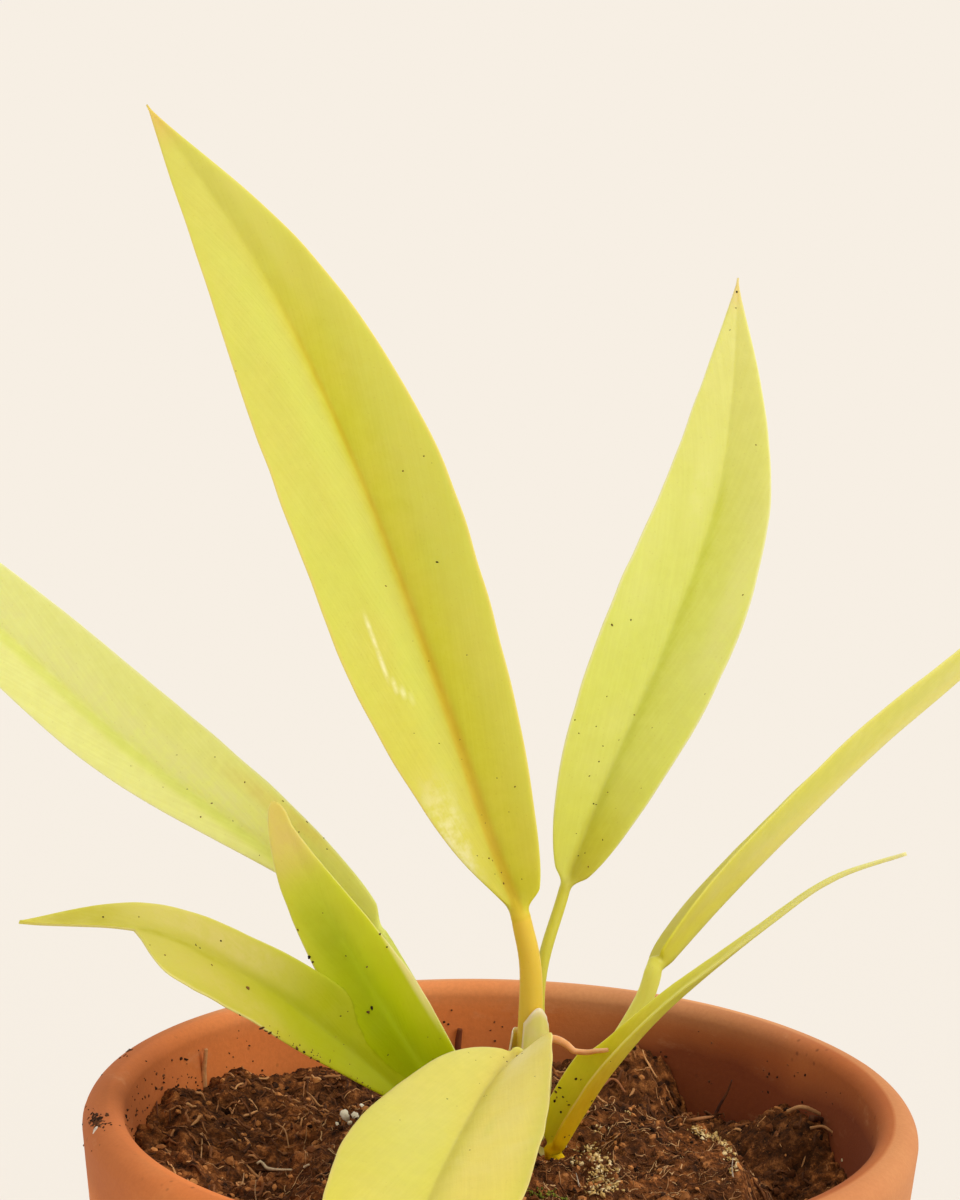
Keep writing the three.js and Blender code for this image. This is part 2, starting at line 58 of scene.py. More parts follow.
def add_camera():
    camera = bpy.data.objects.new("camera", bpy.data.cameras.new("camera"))
    bpy.context.scene.collection.objects.link(camera)
    axes = Matrix((CAMERA_RIGHT, CAMERA_UP, CAMERA_BACK)).transposed()
    camera.matrix_world = Matrix.Translation(CAMERA_PLACE) @ axes.to_4x4()
    camera.data.sensor_width = SENSOR
    camera.data.lens = FOCAL_PIXELS / FRAME_HEIGHT * SENSOR
    camera.data.clip_start = 0.01
    camera.data.clip_end = 50
    bpy.context.scene.camera = camera


def pixel_ray(u, v):
    """Direction from the camera through a pixel of the 960 x 1200 frame."""
    right = CAMERA_RIGHT * ((u - FRAME_WIDTH / 2) / FOCAL_PIXELS)
    up = CAMERA_UP * ((FRAME_HEIGHT / 2 - v) / FOCAL_PIXELS)
    return (right + up - CAMERA_BACK).normalized()


# Mesh helpers. Shapes are made in millimetres and stored in metres.
def add_piece(name, vertices, faces, material, replaces=None, attributes=None, smooth=True):
    """A mesh object that rides on the root body. attributes maps a name to one value or vector a vertex."""
    mesh = bpy.data.meshes.new(name)
    mesh.from_pydata((np.asarray(vertices) * MM).tolist(), [], [list(map(int, f)) for f in faces])
    for key, values in (attributes or {}).items():
        values = np.asarray(values, np.float32)
        kind = "FLOAT_VECTOR" if values.ndim == 2 else "FLOAT"
        layer = mesh.attributes.new(key, kind, "POINT")
        layer.data.foreach_set("vector" if values.ndim == 2 else "value", values.ravel())
    mesh.polygons.foreach_set("use_smooth", [smooth] * len(mesh.polygons))
    mesh.materials.append(material)
    piece = bpy.data.objects.new(name, mesh)
    bpy.context.scene.collection.objects.link(piece)
    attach(piece, "root")
    if replaces:
        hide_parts(replaces)
    return piece


def grid_faces(rows, columns, closed=True):
    """Quads over rows of equally many points; closed joins each row's last point to its first."""
    i, j = np.meshgrid(np.arange(rows - 1), np.arange(columns if closed else columns - 1), indexing="ij")
    i, j = i.ravel(), j.ravel()
    k = (j + 1) % columns
    return np.stack([i * columns + j, i * columns + k, (i + 1) * columns + k, (i + 1) * columns + j], 1)


def lofted(rings):
    """Vertices and faces of a closed skin over rings, capped at both ends."""
    rows, columns = rings.shape[:2]
    faces = grid_faces(rows, columns).tolist()
    faces.append(list(range(columns))[::-1])
    faces.append([(rows - 1) * columns + j for j in range(columns)])
    return rings.reshape(-1, 3), faces


def turned(profile, segments):
    """Vertices and faces of a closed profile of (r, z) pairs turned about the Z axis."""
    profile = np.asarray(profile, float)
    angle = np.linspace(0, 2 * np.pi, segments, endpoint=False)
    rings = np.empty((segments, len(profile), 3))
    rings[..., 0] = np.cos(angle)[:, None] * profile[:, 0]
    rings[..., 1] = np.sin(angle)[:, None] * profile[:, 0]
    rings[..., 2] = profile[:, 1]
    faces = grid_faces(segments + 1, len(profile)) % (segments * len(profile))
    return rings.reshape(-1, 3), faces.tolist()


# Curves and noise
def curve_points(points, fractions):
    """Places and unit tangents at fractions of a Catmull-Rom curve's length, with extrapolated ends."""
    given = np.asarray(points, float)
    ends = np.vstack([2 * given[0] - given[1], given, 2 * given[-1] - given[-2]])
    f = np.linspace(0, 1, 60, endpoint=False)[:, None]
    spans = []
    for p0, p1, p2, p3 in zip(ends[:-3], ends[1:-2], ends[2:-1], ends[3:]):
        cubic = 2 * p1 + (p2 - p0) * f + (2 * p0 - 5 * p1 + 4 * p2 - p3) * f**2
        spans.append(0.5 * (cubic + (-p0 + 3 * p1 - 3 * p2 + p3) * f**3))
    dense = np.vstack(spans + [given[-1:]])
    length = np.r_[0, np.cumsum(np.linalg.norm(np.diff(dense, axis=0), axis=1))]
    places = np.stack([np.interp(fractions * length[-1], length, dense[:, k]) for k in range(3)], 1)
    tangents = np.gradient(places, axis=0)
    return places, tangents / np.linalg.norm(tangents, axis=1)[:, None]


def along(stations, t):
    """A smooth value through equally spaced stations, for t from 0 to 1."""
    values = np.asarray(stations, float)
    last = len(values) - 1
    ends = np.concatenate([[2 * values[0] - values[1]], values, [2 * values[-1] - values[-2]]])
    place = np.clip(t * last, 0, last - 1e-9)
    i = place.astype(int)
    f = place - i
    p0, p1, p2, p3 = ends[i], ends[i + 1], ends[i + 2], ends[i + 3]
    cubic = 2 * p1 + (p2 - p0) * f + (2 * p0 - 5 * p1 + 4 * p2 - p3) * f**2
    return 0.5 * (cubic + (-p0 + 3 * p1 - 3 * p2 + p3) * f**3)


def smooth(low, high, value):
    x = np.clip((value - low) / (high - low), 0, 1)
    return x * x * (3 - 2 * x)


def bell(x):
    return np.exp(-(x**2))


def lattice_noise(x, y, seed):
    """Smooth noise from -1 to 1 with a wavelength of about 2."""
    table = np.random.RandomState(seed).uniform(-1, 1, (64, 64))
    i, j = np.floor(x).astype(int), np.floor(y).astype(int)
    fx, fy = x - i, y - j
    fx, fy = fx * fx * (3 - 2 * fx), fy * fy * (3 - 2 * fy)
    row0 = table[i % 64, j % 64] * (1 - fx) + table[(i + 1) % 64, j % 64] * fx
    row1 = table[i % 64, (j + 1) % 64] * (1 - fx) + table[(i + 1) % 64, (j + 1) % 64] * fx
    return row0 * (1 - fy) + row1 * fy


def layered_noise(x, y, size, seed, octaves=4, gain=0.55):
    total = np.zeros_like(np.asarray(x, float))
    for k in range(octaves):
        scale = 2**k / size
        total += gain**k * lattice_noise(x * scale + 17.3 * k, y * scale - 9.1 * k, seed + k)
    return total


def domes(x, y, size, seed):
    """Round crumbs, one in each cell of a jittered grid: 1 at a crumb's top and 0 between crumbs."""
    rng = np.random.RandomState(seed)
    jitter = rng.uniform(0.1, 0.9, (64, 64, 2))
    radius = rng.uniform(0.35, 0.85, (64, 64))
    x, y = x / size, y / size
    i, j = np.floor(x).astype(int), np.floor(y).astype(int)
    best = np.zeros_like(x)
    for di in (-1, 0, 1):
        for dj in (-1, 0, 1):
            a, b = (i + di) % 64, (j + dj) % 64
            away = np.hypot(i + di + jitter[a, b, 0] - x, j + dj + jitter[a, b, 1] - y) / radius[a, b]
            best = np.maximum(best, radius[a, b] * np.sqrt(np.clip(1 - away**2, 0, 1)))
    return best


# Node helpers
def srgb(*screen):
    """A colour given as 0 to 255 on screen, as linear RGBA."""
    linear = [c / 255 / 12.92 if c <= 10 else ((c / 255 + 0.055) / 1.055) ** 2.4 for c in screen]
    return (*linear, 1.0)


class Nodes:
    """A material's node tree, with short calls for the nodes used here."""

    def __init__(self, name, roughness=0.5, specular=0.5):
        self.material = bpy.data.materials.new(name)
        self.material.use_nodes = True
        self.tree = self.material.node_tree
        self.shader = self.tree.nodes["Principled BSDF"]
        self.shader.inputs["Roughness"].default_value = roughness
        self.shader.inputs["Specular IOR Level"].default_value = specular

    def put(self, socket, value):
        if isinstance(value, bpy.types.NodeSocket):
            self.tree.links.new(value, socket)
        else:
            socket.default_value = value

    def attribute(self, name):
        node = self.tree.nodes.new("ShaderNodeAttribute")
        node.attribute_name = name
        return node

    def math(self, operation, a, b=0.0, clamp=False):
        node = self.tree.nodes.new("ShaderNodeMath")
        node.operation = operation
        node.use_clamp = clamp
        self.put(node.inputs[0], a)
        self.put(node.inputs[1], b)
        return node.outputs[0]

    def times(self, a, b, clamp=False):
        return self.math("MULTIPLY", a, b, clamp)

    def step(self, value, low, high, start=0.0, end=1.0):
        """value mapped smoothly from low..high to start..end."""
        node = self.tree.nodes.new("ShaderNodeMapRange")
        node.interpolation_type = "SMOOTHSTEP"
        for socket, number in zip(node.inputs, (value, low, high, start, end)):
            self.put(socket, number)
        return node.outputs[0]

    def band(self, value, low, high, soft_low, soft_high):
        """1 between low and high and 0 outside, over soft borders."""
        rising = self.step(value, low - soft_low, low + soft_low)
        return self.times(rising, self.step(value, high - soft_high, high + soft_high, 1.0, 0.0))

    def separate(self, vector):
        node = self.tree.nodes.new("ShaderNodeSeparateXYZ")
        self.put(node.inputs[0], vector)
        return node.outputs

    def combine(self, x, y, z):
        node = self.tree.nodes.new("ShaderNodeCombineXYZ")
        for socket, value in zip(node.inputs, (x, y, z)):
            self.put(socket, value)
        return node.outputs[0]

    def place(self):
        return self.tree.nodes.new("ShaderNodeTexCoord").outputs["Object"]

    def noise(self, vector, scale, detail=3.0, roughness=0.55, distortion=0.0):
        node = self.tree.nodes.new("ShaderNodeTexNoise")
        self.put(node.inputs["Vector"], vector)
        node.inputs["Scale"].default_value = scale
        node.inputs["Detail"].default_value = detail
        node.inputs["Roughness"].default_value = roughness
        node.inputs["Distortion"].default_value = distortion
        return node.outputs["Fac"]

    def cells(self, vector, scale):
        node = self.tree.nodes.new("ShaderNodeTexVoronoi")
        self.put(node.inputs["Vector"], vector)
        node.inputs["Scale"].default_value = scale
        return node.outputs["Distance"]

    def mix(self, factor, a, b, blend="MIX"):
        node = self.tree.nodes.new("ShaderNodeMix")
        node.data_type = "RGBA"
        node.blend_type = blend
        self.put(node.inputs["Factor"], factor)
        self.put(node.inputs[6], a)
        self.put(node.inputs[7], b)
        return node.outputs[2]

    def ramp(self, factor, *stops):
        node = self.tree.nodes.new("ShaderNodeValToRGB")
        self.put(node.inputs[0], factor)
        elements = node.color_ramp.elements
        while len(elements) < len(stops):
            elements.new(0.5)
        for element, (place, colour) in zip(elements, stops):
            element.position = place
            element.color = colour
        return node.outputs[0]

    def bump(self, height, distance, strength=1.0, normal=None):
        node = self.tree.nodes.new("ShaderNodeBump")
        self.put(node.inputs["Height"], height)
        node.inputs["Distance"].default_value = distance
        node.inputs["Strength"].default_value = strength
        if normal is not None:
            self.put(node.inputs["Normal"], normal)
        return node.outputs[0]

    def finish(self, colour, normal=None, roughness=None):
        self.put(self.shader.inputs["Base Color"], colour)
        if normal is not None:
            self.put(self.shader.inputs["Normal"], normal)
        if roughness is not None:
            self.put(self.shader.inputs["Roughness"], roughness)
        return self.material


def glow(nodes, weight, radius, scale):
    """Light that passes through a thin living piece."""
    nodes.shader.inputs["Subsurface Weight"].default_value = weight
    nodes.shader.inputs["Subsurface Radius"].default_value = radius
    nodes.shader.inputs["Subsurface Scale"].default_value = scale


# Leaves. The forms are those of the CAD model, with more rows and columns. A stem has an azimuth and an
# elevation on the crown, points on its way and a radius. Each half, left and right, has a width, the place of
# its greatest width, and the exponents (p, q) of (1 - x^p)^q to base and to tip. It may end before the tip,
# leave a strip there, and keep a least width. Folds and curls are in degrees at equal steps.
LEAVES = {
    "leaf_tall": {
        "slot": "leaf_gold",
        "stem": (70, 82, [(3.9, 6.1, 115), (3.7, 6.1, 126)], 1.45), "flare": 0.5, "open": 0.03,
        "rib": [(2.1, 6, 133.6), (-3, 7, 146), (-9.5, 10, 163.5), (-23, 16, 196), (-37.5, 22, 223.5),
                (-55, 29, 246.5)],
        "face": [(0.05, -1, 0.1), (0.05, -1, 0.15), (0.1, -1, 0.3)],
        "halves": [(12.7, 0.42, (2.3, 1.05), (2.4, 1.1)), (12.6, 0.5, (1.5, 0.45), (1.6, 1.15))],
        "fold": (12, 16, 10), "curl": (10, 6, 0), "sweep": (-0.15, 0, 0),
        "rows": 170, "ripple": 0.35, "groove": 0.22,
    },
    "leaf_right": {
        "slot": "leaf_lime",
        "stem": (68, 35, [(6.2, 11, 103), (5.1, 12, 121.6)], 0.85), "flare": 0.2, "open": 0.03,
        "rib": [(8.4, 18, 134.5), (14.3, 21.5, 151), (22.3, 27, 170), (28.8, 33, 189), (31, 38, 204.5),
                (31.6, 45, 221.7)],
        "face": [(0, -1, 0.2), (0.1, -1, 0.2), (0.2, -1, 0.2)],
        "halves": [(10.7, 0.42, (1.8, 0.66), (2, 1.15)), (9.7, 0.45, (2, 0.62), (1.9, 1.2))],
        "fold": (20, 16, 8), "curl": (5, 5, 0), "sweep": (0, 0, 0),
        "rows": 140, "ripple": 0.3, "groove": 0.3,
    },
    "leaf_far_left": {
        "slot": "leaf_lime",
        "stem": (150, 40, [(-4.8, 7.6, 106), (-10.7, 8, 117.2)], 1.1), "flare": 0.15, "open": 0.03,
        "rib": [(-18, 8.8, 129.3), (-35, 14, 140.8), (-55, 20, 153.5), (-71, 25, 166), (-92, 33, 182),
                (-112, 43, 196)],
        "face": [(-0.3, -0.9, 0.5), (-0.4, -0.9, 0.5), (-0.4, -0.8, 0.6)],
        "halves": [(6.8, 0.5, (1.8, 1.4), (2.2, 1)), (9.5, 0.38, (1.3, 0.42), (1.8, 1))],
        "fold": (20, 14, 8), "curl": (5, 5, 0), "sweep": (0, 0, 0),
        "rows": 140, "ripple": 0.25, "groove": 0.3,
    },
    "leaf_front": {
        "slot": "leaf_pale",
        "stem": (-95, 42, [(3, -0.9, 106), (2.9, -1.4, 112)], 1.15), "flare": 0.4, "open": 0.02,
        "rib": [(2.2, -3, 116), (-1, -11, 115.5), (-4.5, -24, 113.7), (-9, -50, 112.2), (-13, -70, 106.5),
                (-16, -86, 93)],
        "face": [(0, -0.1, 1), (0, -0.05, 1), (0, -0.4, 1)],
        "halves": [(13.3, 0.45, (2.6, 0.42), (2.2, 1)), (13.8, 0.45, (1.6, 0.65), (2.2, 1))],
        "fold": ((48, 12, 8), (20, 12, 8)), "curl": (0, 0, 0), "sweep": (-0.4, 0, 0),
        "rows": 140, "ripple": 0.3, "groove": 0.35,
    },
    "leaf_far_right": {
        "slot": "leaf_lime",
        "stem": (32, 28, [(9.4, 9.4, 104), (15.6, 11, 111.5), (20.3, 11.8, 119.8)], 1.3),
        "flare": 0.15, "open": 0.02,
        "rib": [(21.9, 12, 125.3), (31.7, 22, 133.5), (43.6, 32, 143.1), (55.4, 41, 152.3), (68, 50, 161),
                (92, 68, 178), (112, 86, 188)],
        "face": [(-0.65, 0.2, 0.7), (-0.7, 0.22, 0.7), (-0.5, 0, 0.85)],
        "halves": [(7.9, 0.4, (2.2, 0.5), (2.4, 1)), (8.4, 0.4, (2.2, 0.55), (2.4, 1))],
        "fold": (24, 18, 10), "curl": (10, 8, 0), "sweep": (-0.6, 0, 0),
        "rows": 140, "ripple": 0.2, "groove": 0.3,
    },
    "leaf_strap": {
        "slot": "leaf_green",
        "stem": (-30, 30, [], 1.2), "flare": 0.15, "open": 0.03,
        "rib": [(7.4, 1, 100), (11.2, 1, 106.8), (15.5, 0.5, 113.8), (23.5, -0.5, 123.7), (38, -2, 137.3),
                (46.2, -3, 143.7), (56, -4, 147.7)],
        "face": [(-0.75, -0.2, 0.6), (-0.65, -0.25, 0.7), (-0.5, -0.3, 0.8)],
        "halves": [(5, 0.2, (3, 0.35), (0.4, 1.1)), (3, 0.25, (2.5, 0.4), (1, 1))],
        "fold": (50, 34, 10), "curl": (10, 5, 0), "sweep": (0, 0, 0),
        "rows": 120, "ripple": 0.12, "groove": 0.05,
    },
}
LOBES = {
    "blunt_lobe": {
        "stem": (188, 25, [(-5.4, 2.8, 98.6)], 1.6), "flare": 0.15, "open": 0.1,
        "rib": [(-6, 2.4, 104), (-12.6, 1.5, 113.6), (-18.4, 1.9, 122.5), (-24.2, 3.2, 131.6),
                (-29.6, 5.6, 140.2), (-34.2, 8.4, 149.2)],
        "face": [(0.5, -0.75, 0.4), (0.45, -0.8, 0.4), (0.2, -0.9, 0.3), (0.1, -0.95, 0.3)],
        "halves": [(5.9, 0.4, (2.2, 0.4), (1.7, 0.6), 1.0, 0.0, 1.0),
                   (6.2, 0.36, (2.2, 0.4), (1.5, 0.95), 1.0, 0.0, 1.3)],
        "fold": ((-26, -17, 5), (12, 10, 6)), "curl": (4, 6, 0), "sweep": (0, 0, 0),
        "rows": 110, "ripple": 0.1, "groove": 0.05,
    },
    "low_lobe": {
        "stem": (193, 23, [(-5.6, 2.3, 98.3)], 1.45), "flare": 0.1, "open": 0.1,
        "rib": [(-8.5, 0.6, 104), (-23, -1.6, 116.6), (-36, -5.6, 127.1), (-50, -12.5, 136.2),
                (-67, -20, 138.7)],
        "face": [(-0.38, -0.7, 0.65), (-0.3, -0.62, 0.75), (-0.1, -0.6, 0.85), (0, -0.5, 0.9)],
        "halves": [(10.2, 0.86, (1.2, 0.93), (4, 0.6), 0.77, 3.6), (6.4, 0.28, (2.2, 0.5), (2, 0.85))],
        "fold": ((26, 14, 5), (-6, 8, 5)), "curl": (2, 5, 0), "sweep": (0, 0, 0),
        "rows": 130, "ripple": 0.15, "groove": 0.12,
    },
}
CROWN_CENTRE = np.array([3.5, 4.5, 92.0])
CROWN_RADII = np.array([6.0, 6.0, 8.0])
STEM_ROWS = 26
COLUMNS = 17
ROW_CROWDING = 1.25
BLADE_HALF = 0.3
EDGE_HALF = 0.06
LEAST_WIDTH = 0.18
BLUNT_END = 0.95
TIP_WIDTH = 0.12
CREASE = 0.55
ROUND_SPAN = 164
EDGE_WANDER = 0.012
QUILT = 0.05
VEIN_SLANT = 0.22


def over_crown(azimuth, elevation, lift):
    """A point over the crown's dome, lifted off it along its normal."""
    a, e = math.radians(azimuth), math.radians(elevation)
    unit = np.array([math.cos(e) * math.cos(a), math.cos(e) * math.sin(a), math.sin(e)])
    normal = unit / CROWN_RADII
    return CROWN_CENTRE + unit * CROWN_RADII + normal / np.linalg.norm(normal) * lift


def half_width(half, t):
    """Width of one half of a blade at t."""
    width, peak, base, tip = half[:4]
    end, strip, least = (*half[4:], *(1.0, 0.0, LEAST_WIDTH)[len(half) - 4:])
    u = np.minimum(t / end, 1)
    p = np.where(u < peak, base[0], tip[0])
    q = np.where(u < peak, base[1], tip[1])
    x = np.where(u < peak, (peak - u) / peak, (u - peak) / (1 - peak))
    full = width * np.clip(1 - x**p, 0, 1) ** q
    past = ((t - BLUNT_END) / (1 - BLUNT_END)).clip(0)
    least = np.maximum(least * np.sqrt(np.clip(1 - past**2, 0, 1)), TIP_WIDTH)
    return np.maximum(np.maximum(full, strip * (1 - t) ** 0.7 * np.minimum(1, 6 * t)), least)


def axes_at(spec, tangents, t):
    face = np.array(spec["face"], float)
    up = np.stack([along(face[:, k], t) for k in range(3)], 1)
    up -= (up * tangents).sum(1)[:, None] * tangents
    up /= np.linalg.norm(up, axis=1)[:, None]
    return up, np.cross(tangents, up)


def round_rings(centres, up, across, radius, columns):
    """Upper points run from the left edge to the right one, lower points back again."""
    first = np.array([90 + ROUND_SPAN / 2, -90 + ROUND_SPAN / 2])
    angle = np.radians(first[:, None] - ROUND_SPAN * np.arange(2 * columns + 1) / (2 * columns)).ravel()
    ring = np.cos(angle)[None, :, None] * across[:, None] + np.sin(angle)[None, :, None] * up[:, None]
    return centres[:, None] + np.reshape(radius, (-1, 1, 1)) * ring


def blade_rings(spec, t, centres, tangents, up, across, seed):
    """The blade's rings, with each point's place across it as a fraction and in millimetres."""
    radius = spec["stem"][3]
    share = 0.5 - 0.5 * np.cos(np.pi * np.arange(COLUMNS + 1) / COLUMNS)
    folds = spec["fold"] if isinstance(spec["fold"][0], tuple) else (spec["fold"],) * 2
    curl = np.radians(along(spec["curl"], t))[:, None]
    sweep = along(spec["sweep"], t)[:, None]
    keel = (radius * (1 - t) ** 1.5)[:, None]
    rib = (radius * (1.2 - 0.7 * t) + 0.3)[:, None]
    upper, lower, fractions, offsets = [], [], [], []
    for sign, half, bend in zip((-1, 1), spec["halves"], folds):
        fold = np.radians(along(bend, t))[:, None]
        width = half_width(half, t)[:, None]
        width = width * (1 + EDGE_WANDER * lattice_noise(t * 23, t * 0 + sign * 3.7, seed)[:, None])
        x = width * share
        middle = (x[:, 1:] + x[:, :-1]) / 2
        slope = (fold + curl * middle / width) * (1 - bell(middle / CREASE))
        step = np.diff(x, axis=1)
        none = np.zeros_like(width)
        out = np.concatenate([none, np.cumsum(step * np.cos(slope), 1)], 1)
        rise = np.concatenate([none, np.cumsum(step * np.sin(slope), 1)], 1)
        tilt = np.concatenate([none, slope], 1)
        edge = share[None, :]
        quilt = QUILT * layered_noise(t[:, None] * 30 + 0 * x, x * 0.35 + sign * 40, 1.0, seed + 5, 2)
        wave = spec["ripple"] * edge**2 * lattice_noise(t[:, None] * 9 + 0 * x, sign * 11.0 + 0 * x, seed + 9)
        fade = np.sin(np.pi * np.clip(t, 0, 1))[:, None]
        rise = rise + (wave + quilt * edge) * fade
        thick = EDGE_HALF + (BLADE_HALF - EDGE_HALF) * np.sqrt(np.clip(1 - edge**8, 0, 1))
        groove = spec["groove"] * np.sqrt(1 - t)[:, None] * bell(x / (0.45 * rib))
        point = centres[:, None] + sign * out[..., None] * across[:, None]
        point = point + rise[..., None] * up[:, None] + (sweep * x)[..., None] * tangents[:, None]
        normal = np.cos(tilt)[..., None] * up[:, None] - sign * np.sin(tilt)[..., None] * across[:, None]
        down = thick + np.maximum(keel, groove) * bell(x / (0.7 * rib))
        order = slice(None, 0, -1) if sign < 0 else slice(None)
        upper.append((point + (thick - groove)[..., None] * normal)[:, order])
        lower.append((point - down[..., None] * normal)[:, order])
        fractions.append((sign * edge + 0 * x)[:, order])
        offsets.append((sign * x)[:, order])
    upper, lower, fraction, offset = (np.concatenate(v, 1) for v in (upper, lower, fractions, offsets))
    rings = np.concatenate([upper, lower[:, ::-1]], 1)
    fraction, offset = (np.concatenate([v, v[:, ::-1]], 1) for v in (fraction, offset))
    return rings, fraction, offset


def leaf_skin(spec, seed):
    """Vertices, faces and attributes of a leaf. The leaf attribute is (fraction across, t, vein line), and
    offset is the distance from the midrib in millimetres."""
    azimuth, elevation, via, radius = spec["stem"]
    foot = [over_crown(azimuth, elevation, 0.1), over_crown(azimuth, elevation, 2)]
    stem, stem_ahead = curve_points([*foot, *via, spec["rib"][0]], np.linspace(0, 1, STEM_ROWS + 1))
    stem, stem_ahead = stem[:-1], stem_ahead[:-1]
    up, across = axes_at(spec, stem_ahead, np.zeros(STEM_ROWS))
    s = np.arange(STEM_ROWS) / STEM_ROWS
    stem_rings = round_rings(stem, up, across, radius * (1 + spec["flare"] * (1 - s)), COLUMNS)
    t = np.linspace(0, 1, spec["rows"] + 1) ** ROW_CROWDING
    rib, ahead = curve_points(spec["rib"], t)
    up, across = axes_at(spec, ahead, t)
    flat, fraction, offset = blade_rings(spec, t, rib, ahead, up, across, seed)
    share = smooth(0, spec["open"], t)[:, None, None]
    blade = round_rings(rib, up, across, np.full(len(t), radius), COLUMNS) * (1 - share) + flat * share
    vertices, faces = lofted(np.concatenate([stem_rings, blade]))
    count = blade.shape[1]
    length = np.linalg.norm(np.diff(rib, axis=0), axis=1).sum()
    none = np.zeros((STEM_ROWS, count))
    fraction = np.concatenate([none, fraction]).ravel()
    offset = np.concatenate([none, offset]).ravel()
    where = np.concatenate([np.repeat(s - 1.01, count), np.repeat(t, count)])
    vein = np.abs(offset) - VEIN_SLANT * length * where
    return vertices, faces, {"leaf": np.stack([fraction, where, vein], 1), "offset": offset}


